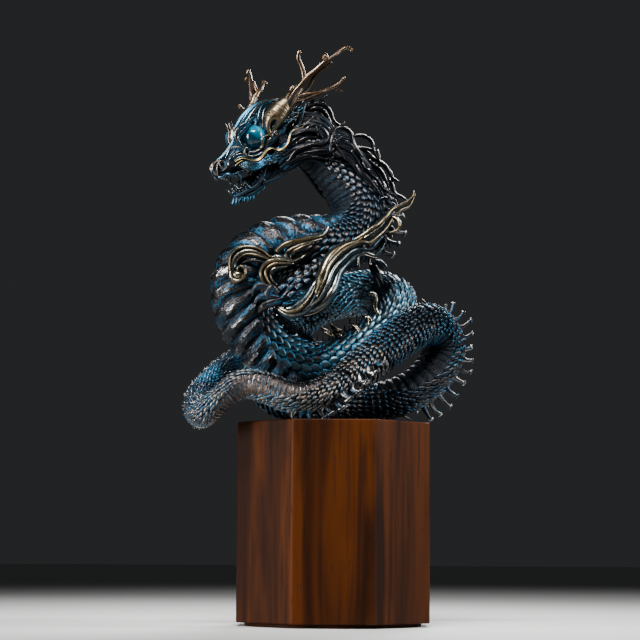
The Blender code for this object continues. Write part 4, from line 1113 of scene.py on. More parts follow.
# Polished bands of the shoulder flames: width, thickness, root, tip, tint and points.
FLAMES = [
    # the right-hand flame: a leaf and five ridges that sweep up from the claw to one tip
    (3.8, 1.6, 0.25, 0.6, 0.2, [(-26, -40, 163), (-21, -41.5, 163), (-16, -42, 166), (-13, -41.5, 170),
     (-11, -40.5, 174.5)]),
    (2, 2, 0.3, 0.5, 0.9, [(-30, -41, 164.5), (-27, -42.5, 162), (-23, -44, 160.5), (-18, -45, 162),
     (-14, -44.5, 166), (-11.5, -43.5, 170), (-10, -42.5, 174)]),
    (2.8, 2, 0.3, 0.5, 0.3, [(-30.5, -40, 164), (-27, -41, 161), (-22, -42.5, 159), (-17.5, -43.5, 159.8),
     (-13, -44, 163), (-10, -43.5, 168), (-8, -43, 173)]),
    (3.6, 2.4, 0.5, 0.3, 1, [(-9.5, -44.5, 170), (-8, -44, 173.5), (-7.5, -43, 177), (-6, -42, 181.5),
     (-4.5, -40.5, 185.5), (-2.5, -38.5, 189.5), (1, -36, 193.5), (5.5, -32.5, 197), (11, -29, 199.5),
     (14.5, -27, 202)]),
    (1.8, 2.6, 0.5, 0.25, 1, [(-9, -45.5, 168), (-6.6, -45, 173.5), (-5.2, -44, 177.5), (-3, -41.5, 184),
     (0.5, -38, 189.5), (5, -34.5, 194), (11, -31, 197.8), (14, -29.5, 199), (18, -27.5, 198.8),
     (20.5, -26, 200.5), (25, -22, 205), (28, -18.5, 209), (31.5, -14.5, 215), (33.5, -13.3, 217),
     (36.5, -11.3, 219.5), (39.5, -10.6, 221), (42, -9.6, 225.5), (43, -9, 228.5)]),
    (2.6, 2.4, 0.3, 0.3, 0.1, [(-14.5, -44.5, 161.5), (-11, -44.5, 164.5), (-8, -44.5, 167),
     (-5.5, -43.5, 171), (-3.2, -42, 176.5), (-1.6, -40, 181), (1.2, -37, 185.8), (4.6, -34, 189.6),
     (8.4, -31, 193.4), (11, -29, 195), (14, -27.5, 196), (17, -26, 195.7), (19.5, -25, 196.8),
     (22.5, -23, 200), (25.5, -21, 203.5)]),
    (3.4, 2, 0.3, 0.3, 0.3, [(-16, -43, 160), (-9.5, -42.6, 162.6), (-5, -42, 166.4), (-2, -41, 171),
     (-0.2, -39, 174.5), (1.2, -37, 179), (2.4, -35, 182.2), (4.8, -32.6, 185.8), (8.6, -30, 189.6),
     (12.2, -28, 192.8), (15.5, -26.5, 193.8)]),
    (1.6, 1.8, 0.3, 0.2, 0.8, [(-19.5, -41.5, 159), (-15, -41.5, 158.8), (-9, -41, 160.8),
     (-3.6, -40.5, 165), (-0.2, -39, 170.5), (1.6, -37, 176.5), (2.8, -35, 181)]),
    # a broad dull band inside its lower bend
    (3, 1.6, 0.4, 0.3, 0.2, [(-8.5, -37, 179.1), (-10.5, -39, 175.1), (-13.3, -40.5, 170.3),
     (-18, -42, 165.5), (-22.9, -43, 161.2)]),
    # its upper leaf, an open frame about a blue panel, and the curl beside it
    (2, 2, 0.4, 0.2, 0.9, [(9, -28.5, 199.5), (12, -27, 201.6), (15.5, -25.5, 204), (18.5, -24, 206.6),
     (22, -22, 209), (25, -19.5, 212), (27.5, -18, 214.5), (30, -15.5, 218.4), (33, -13.4, 220.4),
     (36.5, -12, 222.4), (40, -11, 225), (42, -10, 228), (42, -9.4, 230)]),
    (4.6, 1, 0.4, 0.3, 0.1, [(10, -26, 199), (15, -24, 201.2), (19, -22, 204), (23, -19.5, 207),
     (26, -17.5, 210.5), (28.5, -15.5, 214.5), (31, -13.8, 217.5)]),
    (1.1, 1.5, 0.4, 0.2, 0.5, [(14.5, -26, 201), (18.5, -24, 204), (22.5, -22, 207), (25, -20.5, 209.5),
     (27, -18.5, 213)]),
    (1.7, 1.6, 0.6, 0.3, 0.9, [(30, -16, 215), (32.5, -16.5, 213.6), (34, -17.5, 211.5), (34, -18, 208.5),
     (31.5, -18.5, 206.5), (28, -19, 205.5)]),
    (1.5, 1.4, 0.5, 0.2, 0.2, [(12, -25.5, 194.5), (17, -22.5, 194.5), (21, -20, 193.5), (23.5, -19, 195),
     (25, -18.5, 197), (26.5, -17, 200.5)]),
    (1.4, 1.3, 0.2, 0.5, 0.6, [(12, -26, 187), (12.5, -25.5, 189.5), (12.4, -24.5, 192), (14, -24, 193),
     (17, -22, 193), (22, -19, 192)]),
    # the left-hand flame: a thick band that rolls into a ball, with two thinner ones under it
    (1.5, 3, 0.5, 0.8, 1, [(-30, -42, 190), (-32, -42, 188.8), (-35.5, -42, 191), (-40.5, -42.5, 193.5),
     (-46, -42.5, 194), (-50.5, -43, 192.5), (-53.5, -43, 188.5), (-54, -43.5, 182.5),
     (-53.5, -44, 178.5)]),
    (3.4, 2.2, 0.4, 0.8, 0.5, [(-33, -41.5, 188.3), (-38, -42, 190.4), (-43, -42.3, 191.8),
     (-47.5, -42.6, 191.2), (-51, -43, 188.4), (-52.4, -43.5, 184), (-52.2, -44, 180)]),
    (2.2, 3.4, 0.7, 0.5, 0.8, [(-53.6, -44, 181.5), (-53, -44.3, 177.8), (-50.6, -44.5, 175.8),
     (-47.4, -44.8, 176.8), (-45.6, -45, 179.5), (-46, -45.3, 182), (-48, -45.6, 183.4),
     (-49.8, -45.6, 182.6), (-49.6, -45.6, 181.2)]),
    (4.8, 3, 0.8, 0.8, 0.9, [(-52.5, -42.5, 178), (-50.5, -43, 178.8), (-48.5, -43, 180),
     (-46.6, -42.5, 181.6)]),
    (1.3, 2.2, 0.4, 0.3, 1, [(-32.5, -42.5, 187.5), (-37.5, -43, 189), (-42.5, -43.3, 190),
     (-47, -43.3, 189.5), (-50, -43.3, 187), (-51.3, -43.5, 184)]),
    (1.8, 1.8, 0.4, 0.2, 0.3, [(-35.5, -42, 186.3), (-39.5, -42, 187.4), (-43.5, -42, 187.4),
     (-47, -42, 186), (-49, -42, 184)]),
    (2.6, 2.4, 0.2, 0.8, 0.9, [(-3, -31, 207.5), (-4, -31.5, 205), (-6.5, -32.5, 202),
     (-10.5, -34.5, 200.5), (-16.5, -37, 199), (-21.5, -40, 197.5), (-26, -41.5, 195.5),
     (-28.5, -42, 193.5), (-30, -42.5, 191.5)]),
    (2, 2, 0.2, 0.3, 0.7, [(-6.5, -33, 200.4), (-11.5, -35.5, 198.2), (-17, -38, 196), (-21, -39.5, 194.2),
     (-24, -40.6, 192.4), (-25.5, -41, 190.5), (-24.5, -41.5, 188.7), (-22, -41.5, 187.5)]),
    (1.6, 1.8, 0.2, 0.3, 0.9, [(-10.5, -35.5, 197.8), (-15.5, -37.5, 195.6), (-19, -39, 193.6),
     (-22, -39.5, 191.8), (-23, -40, 190), (-22.5, -40.5, 188.5)]),
    (3.4, 1.4, 0.5, 0.5, 0.2, [(-31, -42, 190), (-28.5, -42, 188.8), (-26, -41.5, 188), (-23, -41.5, 187)]),
    # the loop under it
    (1.9, 2.2, 0.2, 0.6, 0.7, [(-15, -36, 191.5), (-18, -38.5, 188.7), (-21, -39.5, 187.3),
     (-26.5, -41.5, 187.6), (-30.5, -42.5, 187.4), (-34.2, -43.5, 186.4), (-37, -43.5, 183.2),
     (-38, -44, 179.5), (-36.4, -43.5, 175.8), (-33, -43, 173)]),
    (1.7, 2.2, 0.3, 0.6, 1, [(-21, -40.5, 186), (-26.5, -41.6, 185.9), (-30.5, -42.6, 185.4),
     (-33.4, -43.3, 184), (-35.4, -43.8, 181.5), (-35.4, -43.8, 178.8), (-33.8, -43.3, 175.6),
     (-31, -43, 173.2)]),
    (1.7, 1.8, 0.3, 0.5, 0.5, [(-24.5, -40.6, 184.4), (-29.5, -41.6, 183.6), (-32.2, -42.6, 182),
     (-33.4, -42.8, 179.8), (-32.4, -42.8, 177), (-29.4, -42.8, 174.2)]),
]


# The ball that the left-hand flame rolls into.
FLAME_BALL = [(-50, -43.2, 176.6), (-49.6, -43.8, 179.4), (-49, -43.2, 182.2)]


def gilded_flames(skin, random):
    """The large flame-shaped locks at the shoulder, built up from polished bands."""
    for width, thick, root, tip, tint, points in FLAMES:
        add_lock(skin, points, width * 1.5, thick, (0.05, -1, 0.12), root=root, tip=tip, belly=0.4,
                 tint=tint, low=0.3)
    add_branch(skin, FLAME_BALL, (2.4, 3.7, 2.4), random, 0.03, 0.8, 0.9)


NEAR_ARM = [
    (12, -12, 200), (4, -19, 194), (-3, -25, 189), (-8.5, -30, 185), (-13.2, -33, 181), (-18, -36, 177),
    (-23, -38, 172.5), (-28, -40, 167.2)
]
FAR_ARM = [(-6, -2, 197), (-16, 2, 192), (-28, 4, 184), (-34, 3, 176), (-37, 1, 170)]
NEAR_CLAWS = [
    [(-30, -41, 171), (-36, -43, 174), (-39, -43.5, 174), (-41, -42.5, 172), (-42, -42, 168.5)],
    [(-29.5, -41.5, 170), (-33, -44, 171.8), (-33.8, -44.5, 170), (-34, -43.5, 165.5)],
    [(-29, -41, 168), (-35, -43.5, 168.7), (-38.5, -43.5, 168), (-41, -43, 164.5)],
    [(-28, -41, 166.5), (-32.5, -43.5, 165), (-36, -43.5, 163.5), (-39, -42, 160)],
]
TUFT_GUIDES = [
    [(-46, 14, 146), (-49, 19, 152), (-51, 20, 160), (-48, 22, 168)],
    [(-44, 16, 149), (-44, 22, 156), (-43, 26, 162), (-37, 27, 166)],
    [(-41, 18, 150), (-36, 22, 154), (-31, 23, 158), (-26, 22, 161)],
]
FAR_CLAW_REACH = [(-42, 3, 166), (-40, -1, 163), (-37, -4, 161), (-33, 3, 162)]


def forelegs(skin, random):
    """Both forelegs: a furrowed limb with torn scales, then knuckled toes that end in claws."""
    add_branch(skin, NEAR_ARM, (5.6, 5.4, 5, 4.8, 4.7, 4.7, 4.5, 3.8), random, 0.35, 0.45, 0.8)
    add_branch(skin, FAR_ARM, (5.5, 5.2, 4.6, 4.2, 3.2), random, 0.3, 0.45, 0.5)
    toes = list(NEAR_CLAWS)
    root = np.array([-36, 2, 171])
    for tip in np.array(FAR_CLAW_REACH, float):
        toes.append([root, (root + tip) / 2 + [-1.5, 0, 2], tip, tip + [0.5, -0.5, -3]])
    for toe in toes:
        add_branch(skin, toe, (2.5, 2.7, 2, 0.5), random, 0.3, 0.5, 0.6)
    base, tangents = smooth_path(NEAR_ARM, 40)

    def torn(start, tip, raised, back, width, thick, root, end, low):
        """A scale from start to tip, raised in its middle and rooted `back` along the limb."""
        rise, facing = raised
        points = [start + back, (start + tip) / 2 + rise * facing, tip]
        add_lock(skin, points, random.uniform(*width), thick, facing, root=root, tip=end,
                 tint=random.random(), low=low)

    # torn scales in ragged rows along the limb
    for row in range(4):
        tilt = math.radians(-165 + 48 * row)
        out = np.array([-0.6 * math.cos(tilt), math.sin(tilt) * 0.95, -0.8 * math.cos(tilt)])
        for i in range(2 + row % 2, 38, 2):
            radius = np.interp(i / 39, [0, 0.4, 1], [5.2, 4.5, 3.8])
            start = base[i] + radius * out + random.normal(0, 0.3, 3)
            tip = start + tangents[i] * random.uniform(2.4, 4) + 1.3 * out
            torn(start, tip, (0.4, out), -tangents[i], (2.2, 3.4), 1.3, 0.8, 0.25, 0)
    # three rows of opened plates on its outer side, turned up like shingles
    facing, raised = unit(np.array([-0.1, -0.97, 0.2])), unit(np.array([-0.25, -0.6, 0.75]))
    for row, shift in enumerate((3.3, 0.4, -2.6)):
        for i in range(8 + 2 * row, 38, 4):
            across = unit(np.cross(facing, tangents[i]))
            start = base[i] + 4.6 * facing + shift * across + random.normal(0, 0.25, 3)
            tip = start - tangents[i] * random.uniform(2.6, 3.8) + 1.6 * across + 0.6 * raised
            torn(start, tip, (0.5, raised), tangents[i], (3.2, 4.4), 1.2, 0.9, 0.15, 0.25)


def tail_tuft(skin, random):
    """The tuft at the tail's end: locks combed between three guides."""
    add_combed(skin, TUFT_GUIDES, 11, 2.6, 1.6, away_from_body, random, wave=0.9, root=0.7, tip=0.06)


RING_HOOKS = [
    [(-6.5, -16, 155), (-4.5, -17.5, 153.5), (-2.5, -18.5, 152), (-0.5, -19, 150.5)],
    [(-0.5, -12, 154), (1, -12.5, 152.5), (3, -13.5, 151.5), (3.5, -14, 150)],
    [(18.5, -7, 175), (21, -7.5, 174.5), (22, -8, 171.5), (21.5, -8, 168), (23, -7, 164), (25, -6, 160)],
    [(16, -8, 162.5), (18, -8.5, 162), (19, -8.5, 158), (18, -7, 154)],
    [(11, -9, 156), (11.5, -10, 152), (10.5, -10, 149)],
    [(8, -8, 158.5), (12, -10, 156.5), (14, -11, 153.5), (16, -11, 152)],
    [(-2, -10, 158), (1, -12, 155), (4, -13, 154.5)],
]


def gilded_hooks(skin, random):
    """Small gilded hooks on the inner side of the body's ring."""
    for points in RING_HOOKS:
        add_branch(skin, points, (0.6, 1.2, 1.4, 1.3, 0.9), random, 0.15, 0.8, 0.8)


# Leaves that stand in the ring: root and tip.
RING_LEAVES = [
    ((20, -4, 191), (25, -8, 178)), ((22.5, -5, 192), (26.5, -8, 187)),
    ((-14, -14, 148), (-13.5, -19, 156)), ((-10, -12, 147), (-14.5, -16, 153)),
    ((-31, -26, 163), (-27, -29, 168)), ((-29.5, -26, 160), (-25, -29, 164)),
    ((-27.5, -26, 157), (-23, -28, 161)), ((-25, -25, 154.5), (-20.5, -27, 158.5)),
    ((-22, -23, 152), (-18.5, -26, 156.5)), ((-17, -16, 150), (-18, -20, 157)),
    ((-20, -10, 168), (-17, -14, 161)), ((-16, -6, 170), (-15, -12, 163))
]


def ring_leaves(skin, random):
    """Pointed leaf scales inside the body's ring, each with two ridges."""
    for root, tip in np.array(RING_LEAVES, float):
        for shift in (-1.3, 0, 1.3):
            drift = random.normal(0, 0.5, 3) + [shift, 0, abs(shift) * np.sign(root[2] - tip[2])]
            bend = (root + tip) / 2 + drift * 0.7 + [0, -1.4, 0]
            add_lock(skin, [root + drift * 0.6, bend, tip + drift], 2.8, 1.1, (0, -1, 0.1), ridges=2,
                     tint=random.random(), low=0.15)


def forked_spine(skin, root, tip, radius, random, bend):
    """A curved stalk from the skin with a knob at its end and two short horns across it."""
    way = unit(tip - root)
    across = unit(np.cross(way, (0, -1, 0.2)))
    middle = (root + tip) / 2 + bend * across
    radii = radius * np.array([2.6, 1.25, 0.8])
    add_branch(skin, [root, middle, tip], radii, random, 0.15, 0.62, 0.5)
    for side, reach in ((1, random.uniform(1.6, 2.6)), (-1, random.uniform(1, 2))):
        end = tip + reach * radius * side * across - random.uniform(0.2, 1.4) * radius * way
        points = [tip - 0.4 * radius * way, (tip + end) / 2 + 0.25 * way, end]
        add_branch(skin, points, radius * np.array([1, 0.85, 0.35]), random, 0.05, 0.85, 0.5)


# Tips of the forked spines: round the right-hand loop, under the front strand and on the neck's back edge.
# They come in groups: two shares of the body's length that they stand between, thickness, and tips.
SPINE_TIPS = [
    (0.6, 0.75, 0.7, [(56.5, 2, 168), (59.5, 2, 170), (63.5, 2, 171), (69, 2, 166.5)]),
    (0.6, 0.75, 0.75, [(73, 1, 162), (73.6, 1, 155), (73.5, 1, 147.5), (74, 0, 140), (73, 0, 134)]),
    (0.6, 0.75, 0.8, [(69.5, 0, 128)]), (0.6, 0.74, 0.8, [(65.5, -1, 121)]),
    (0.58, 0.72, 0.8, [(62, -2, 115), (56.5, -3, 111), (51.5, -5, 108)]),
    (0.74, 0.8, 1.1, [(25.5, -44.8, 134.4)]), (0.75, 0.81, 1.3, [(21.4, -47, 129.3)]),
    (0.76, 0.82, 1.3, [(16.6, -48.8, 124.2), (13, -49, 119.1)]),
    (0.77, 0.83, 1.3, [(8.5, -50.5, 115.5), (5.2, -48.5, 111)]), (0.78, 0.84, 1.3, [(-0.4, -48.5, 108)]),
    (0.78, 0.84, 1.2, [(-4.5, -47.2, 105.9)]), (0.79, 0.85, 1.1, [(-10.5, -47.5, 104.6)]),
    (0.8, 0.86, 1.1, [(-15.1, -46.2, 104.3)]), (0.8, 0.86, 1, [(-20.2, -47.5, 104.8)]),
    (0.06, 0.1, 1, [(36.5, -4, 217.5)]), (0.06, 0.12, 1, [(37.5, -4, 208)]),
    (0.06, 0.13, 1, [(34.5, -5, 202), (31.5, -5, 196), (26.5, -6, 189.5)])
]


def forked_spines(skin, random):
    """Spines with forked ends. Each one's root is where the body's skin is nearest to its tip."""
    for low, high, thickness, tips in SPINE_TIPS:
        path, _, _, _, radius = trace_body(np.linspace(low, high, 120) * BODY_LENGTH)
        for tip in np.array(tips, float):
            nearest = np.argmin(np.linalg.norm(path - tip, axis=1) - radius)
            start = path[nearest] + (radius[nearest] - 1.6) * unit(tip - path[nearest])
            forked_spine(skin, start, tip, thickness, random, random.uniform(0.4, 1.6))


# ---- the eyes

def ball(centre, radius, rings=40, axis=(0, 0, 1), cap=180):
    """Grid on a ball about `axis`: polar angle 0 to `cap` degrees, and 0 to 360 degrees round it."""
    axis = unit(axis)
    first = unit(np.cross(axis, (0.31, 0.2, 0.93)))
    second = np.cross(axis, first)
    polar = np.radians(np.linspace(0.5, cap - 0.5 * (cap == 180), rings))[:, None, None]
    turn = circle(48)[..., None]
    way = np.cos(polar) * axis + np.sin(polar) * (np.cos(turn) * first + np.sin(turn) * second)
    return np.asarray(centre, float) + radius * way


def eye(name, node_name, mirror, glass):
    """The glass ball. Its tint, which paints a glow and shading onto the glass, rises from 0 at the front
    and below to 1 at the back of its upper rim.
    """
    centre = head_place(EYE_PLACE, mirror)
    ball_grid = ball(centre, EYE_RADIUS - GLASS_GAP)
    offset = unit(ball_grid - centre)
    skin = Skin()
    skin.add_tube(ball_grid, 1, 0.42 + 0.5 * (offset @ unit(-HEAD_FORWARD + 0.15 * HEAD_UP))
                  + 0.18 * (offset @ HEAD_UP))
    skin.build(name, glass, node_name)


def eye_socket(name, mirror, foil):
    """A foil bowl behind the glass. Its tint, a painted glow, runs from 0 to 1 towards the back of the
    eye's rim and is lowered above and below.
    """
    centre = head_place(EYE_PLACE, mirror)
    outward = unit(mirror * HEAD_SIDE + 0.12 * HEAD_FORWARD)
    outer, inner = (ball(centre, EYE_RADIUS + gap, 26, -outward, 88) for gap in FOIL_GAPS)
    shell = np.concatenate([outer, inner[::-1]])
    offset = unit(shell - centre)
    skin = Skin()
    skin.add_tube(shell, 0.5, 0.5 + 0.5 * (offset @ unit(-HEAD_FORWARD + 0.1 * HEAD_UP))
                  - 0.35 * np.abs(offset @ HEAD_UP))
    skin.build(name, foil)


# ---- materials

def set_inputs(made, **values):
    """Sets sockets, named with _ for a space, to plain values or colours, or links them to sockets."""
    for key, value in values.items():
        socket = made.inputs[key.replace("_", " ")]
        if isinstance(value, bpy.types.NodeSocket):
            made.id_data.links.new(value, socket)
        elif isinstance(value, tuple) and socket.type == "RGBA":
            socket.default_value = (*value, 1)
        else:
            socket.default_value = value


class Wiring:
    """Makes shader nodes in one tree and gives their output sockets."""

    def __init__(self, tree):
        self.tree = tree

    def node(self, kind, **values):
        made = self.tree.nodes.new("ShaderNode" + kind)
        set_inputs(made, **values)
        return made

    def attribute(self, name, output="Fac"):
        made = self.node("Attribute")
        made.attribute_name = name
        return made.outputs[output]

    def place(self):
        return self.node("TexCoord").outputs["Object"]

    def noise(self, place, scale, detail, **more):
        return self.node("TexNoise", Vector=place, Scale=scale, Detail=detail, **more).outputs["Fac"]

    def maths(self, operation, *terms):
        made = self.node("Math")
        made.operation = operation
        for socket, term in zip(made.inputs, terms):
            if isinstance(term, bpy.types.NodeSocket):
                self.tree.links.new(term, socket)
            else:
                socket.default_value = term
        return made.outputs[0]

    def plus(self, value, weight, base):
        """base + weight * value."""
        return self.maths("MULTIPLY_ADD", value, weight, base)

    def varied(self, value, weight, base):
        """base + weight * (value - 0.5)."""
        return self.plus(self.maths("SUBTRACT", value, 0.5), weight, base)

    def between(self, value, low, high):
        """0 to 1 between two values, smoothly."""
        made = self.node("MapRange", Value=value, From_Min=low, From_Max=high)
        made.interpolation_type = "SMOOTHSTEP"
        return made.outputs["Result"]

    def mix(self, factor, first, second):
        """Blend of two colours, each a socket or a plain value."""
        made = self.node("Mix", Factor=factor)
        made.data_type = "RGBA"
        for name, colour in (("A", first), ("B", second)):
            socket = [s for s in made.inputs if s.name == name and s.type == "RGBA"][0]
            if isinstance(colour, tuple):
                socket.default_value = (*colour, 1)
            else:
                self.tree.links.new(colour, socket)
        return [s for s in made.outputs if s.type == "RGBA"][0]

    def bump(self, height, strength, distance):
        return self.node("Bump", Height=height, Strength=strength, Distance=distance).outputs["Normal"]


def aged_metal_group():
    """Patina that lies in the hollows and is rubbed off the ridges.

    Relief, with noise and the streaks of the tool's strokes added, picks four coats in turn: near black in
    the deepest hollows, which is partly dark patina and partly painted shade, then blue patina, metal and
    polished ridge. Tint and a slow noise change the metal's hue.
    """
    tree = bpy.data.node_groups.new("aged_metal", "ShaderNodeTree")
    for way, kind, names in (
            ("INPUT", "Color", ("Deep", "Patina", "Metal", "Warm Metal", "Ridge")),
            ("INPUT", "Float", ("Wear", "Warmth", "Polish")), ("OUTPUT", "Color", ("Color",)),
            ("OUTPUT", "Float", ("Roughness", "Metallic", "Height"))):
        for name in names:
            tree.interface.new_socket(name, in_out=way, socket_type="NodeSocket" + kind)
    given = tree.nodes.new("NodeGroupInput").outputs
    w = Wiring(tree)
    tint, place = w.attribute("tint"), w.place()
    fine, coarse, slow = w.noise(place, 1400, 3), w.noise(place, 400, 4), w.noise(place, 45, 2)
    streak = w.noise(w.attribute("strokes", "Vector"), 1, 2, Roughness=0.6)
    wear_and_shade = w.plus(coarse, 0.26, w.maths("SUBTRACT", w.attribute("relief"), 0.13))
    wear_and_shade = w.varied(fine, 0.24, w.maths("ADD", wear_and_shade, given["Wear"]))
    wear_and_shade = w.varied(streak, 0.9, wear_and_shade)
    in_patina, in_metal = w.between(wear_and_shade, 0.18, 0.32), w.between(wear_and_shade, 0.33, 0.45)
    on_ridge = w.between(wear_and_shade, 0.76, 1.08)
    hue = w.maths("ADD", w.plus(tint, 0.6, w.maths("MULTIPLY", slow, 0.9)), given["Warmth"])
    metal = w.mix(w.between(hue, 0.45, 1.15), given["Metal"], given["Warm Metal"])
    patchy = w.maths("MULTIPLY", in_patina, w.plus(w.between(slow, 0.4, 0.58), 0.8, 0.2))
    # the Deep colour, near black where relief is lowest, is partly dark patina and partly painted shade in
    # the hollows
    colour = w.mix(in_metal, w.mix(patchy, given["Deep"], given["Patina"]), metal)
    colour = w.mix(on_ridge, colour, given["Ridge"])
    rough = w.maths("SUBTRACT", w.plus(in_metal, -0.15, 0.52), given["Polish"])
    rough = w.varied(coarse, 0.16, w.plus(on_ridge, -0.08, rough))
    height = w.plus(streak, 2.2, w.maths("ADD", coarse, w.maths("MULTIPLY", fine, 0.5)))
    set_inputs(tree.nodes.new("NodeGroupOutput"), Color=colour, Roughness=rough, Height=height,
               Metallic=w.plus(in_metal, 0.3, w.plus(in_patina, 0.5, 0.2)))
    return tree


def empty_material(name, colour):
    """A new material, its Principled shader and a wiring for its nodes."""
    material = bpy.data.materials.new(name)
    material.use_nodes = True
    material.diffuse_color = (*colour, 1)
    return material, material.node_tree.nodes["Principled BSDF"], Wiring(material.node_tree)


def aged_metal(name, group, patina, metal, warm, ridge, deep=(0.003, 0.005, 0.008), wear=0, warmth=0,
               polish=0, bump=0.00012):
    """A cast metal finish: the aged_metal group with this finish's colours. Its deep colour, near black, is
    partly dark patina and partly painted shade in the hollows.
    """
    material, shader, w = empty_material(name, metal)
    coat = w.node("Group")
    coat.node_tree = group
    set_inputs(coat, Deep=deep, Patina=patina, Metal=metal, Warm_Metal=warm, Ridge=ridge, Wear=wear,
               Warmth=warmth, Polish=polish)
    made = coat.outputs
    set_inputs(shader, Specular_IOR_Level=0.15, Base_Color=made["Color"], Roughness=made["Roughness"],
               Metallic=made["Metallic"], Normal=w.bump(made["Height"], 0.8, bump))
    return material


PORE_COLOUR = (0.012, 0.005, 0.003)


def walnut(name, light, dark, streak, roughness):
    """Sawn and oiled walnut: upright streaks of stretched noise, and short dark pores along the grain."""
    material, shader, w = empty_material(name, light)
    place = w.place()

    def stretched(across, along, detail, distortion=0):
        mapping = w.node("Mapping", Vector=place, Scale=(across, across, along))
        return w.noise(mapping.outputs["Vector"], 1, detail, Distortion=distortion)

    broad, narrow = stretched(55, 5, 3, 1.2), stretched(260, 9, 4, 0.6)
    in_pore, cloud = w.between(stretched(1500, 110, 1), 0.66, 0.74), stretched(18, 14, 2)
    colour = w.mix(w.between(broad, 0.36, 0.66), dark, light)
    for share, weight, stain in ((w.between(narrow, 0.5, 0.72), 0.75, streak),
                                 (w.between(cloud, 0.45, 0.75), 0.35, dark), (in_pore, 0.8, PORE_COLOUR)):
        colour = w.mix(w.maths("MULTIPLY", share, weight), colour, stain)
    height = w.plus(in_pore, -1, w.maths("MULTIPLY", narrow, 0.4))
    set_inputs(shader, Specular_IOR_Level=0.06, Base_Color=colour, Normal=w.bump(height, 0.4, 0.0003),
               Roughness=w.plus(in_pore, 0.2, w.plus(narrow, 0.22, roughness)))
    return material


def clouded_glow(w, scale, weight):
    """The piece's tint attribute, clouded by a noise: the eyes' painted glow."""
    return w.varied(w.noise(w.place(), scale, 3), weight, w.attribute("tint"))


def eye_glass(name, dark, bright):
    """Clouded teal glass, see-through in part, with painted light: its colour runs from dark to bright
    teal, and it glows by emission towards the back of its rim.
    """
    material, shader, w = empty_material(name, bright)
    glow = clouded_glow(w, 420, 0.45)
    set_inputs(shader, Base_Color=w.mix(w.between(glow, 0.15, 0.95), dark, bright),
               Emission_Color=w.mix(w.between(glow, 0.45, 1.05), dark, bright), Emission_Strength=0.4,
               Roughness=0.12, Transmission_Weight=0.45, IOR=1.35, Coat_Weight=0.45, Coat_Roughness=0.05)
    return material


def eye_foil(name, dark, bright):
    """Foil behind the glass with a painted glow, bright towards one rim: a soft band across the piece's
    tint attribute.
    """
    material, shader, w = empty_material(name, bright)
    glow = w.between(clouded_glow(w, 350, 0.5), 0.25, 0.95)
    set_inputs(shader, Base_Color=w.mix(glow, dark, bright), Roughness=0.3, Metallic=0.4)
    return material


def plain_material(name, colour, roughness):
    """A flat colour with a faint cloud in it."""
    material, shader, w = empty_material(name, colour)
    shade = w.mix(w.noise(w.place(), 4, 3), tuple(0.97 * c for c in colour), colour)
    set_inputs(shader, Base_Color=shade, Roughness=roughness)
    return material


# ---- settings

def colour_property(name, description, default):
    return bpy.props.FloatVectorProperty(
        name=name, description=description, subtype="COLOR", default=default, min=0, max=1)


class DragonMetalSettings(bpy.types.PropertyGroup):
    """Finish and fineness of the casting."""

    patina: colour_property("Patina", "Colour of the patina in the hollows", (0.014, 0.11, 0.21))
    metal: colour_property("Metal", "Colour of the dark metal", (0.022, 0.028, 0.036))
    copper: colour_property("Copper", "Colour of the metal where it is warmer", (0.048, 0.04, 0.036))
    ridge: colour_property("Ridge", "Colour of the rubbed ridges", (0.42, 0.42, 0.42))
    gold: colour_property("Gold", "Colour of the gilded locks and hooks", (0.14, 0.1, 0.052))
    skin_step: bpy.props.FloatProperty(
        name="Skin Step", description="Distance between two rings of the body's skin", unit="LENGTH",
        default=0.00065, min=0.0003, max=0.003)


class DragonPlinthSettings(bpy.types.PropertyGroup):
    """Wood of the plinth."""

    wood: colour_property("Wood", "Colour of the walnut's light grain", (0.052, 0.0125, 0.0012))
    grain: colour_property("Grain", "Colour of the walnut's dark grain", (0.012, 0.003, 0.0005))


class DragonStageSettings(bpy.types.PropertyGroup):
    """Camera, floor and light."""

    camera_tilt: bpy.props.FloatProperty(
        name="Camera Tilt", description="How far the camera looks up", subtype="ANGLE",
        default=math.radians(6.55), min=-1, max=1)
    lens: bpy.props.FloatProperty(
        name="Lens", description="Focal length", unit="CAMERA", default=112.5, min=20, max=300)
    floor: colour_property("Floor", "Colour of the floor", (0.62, 0.62, 0.61))


# ---- finishes

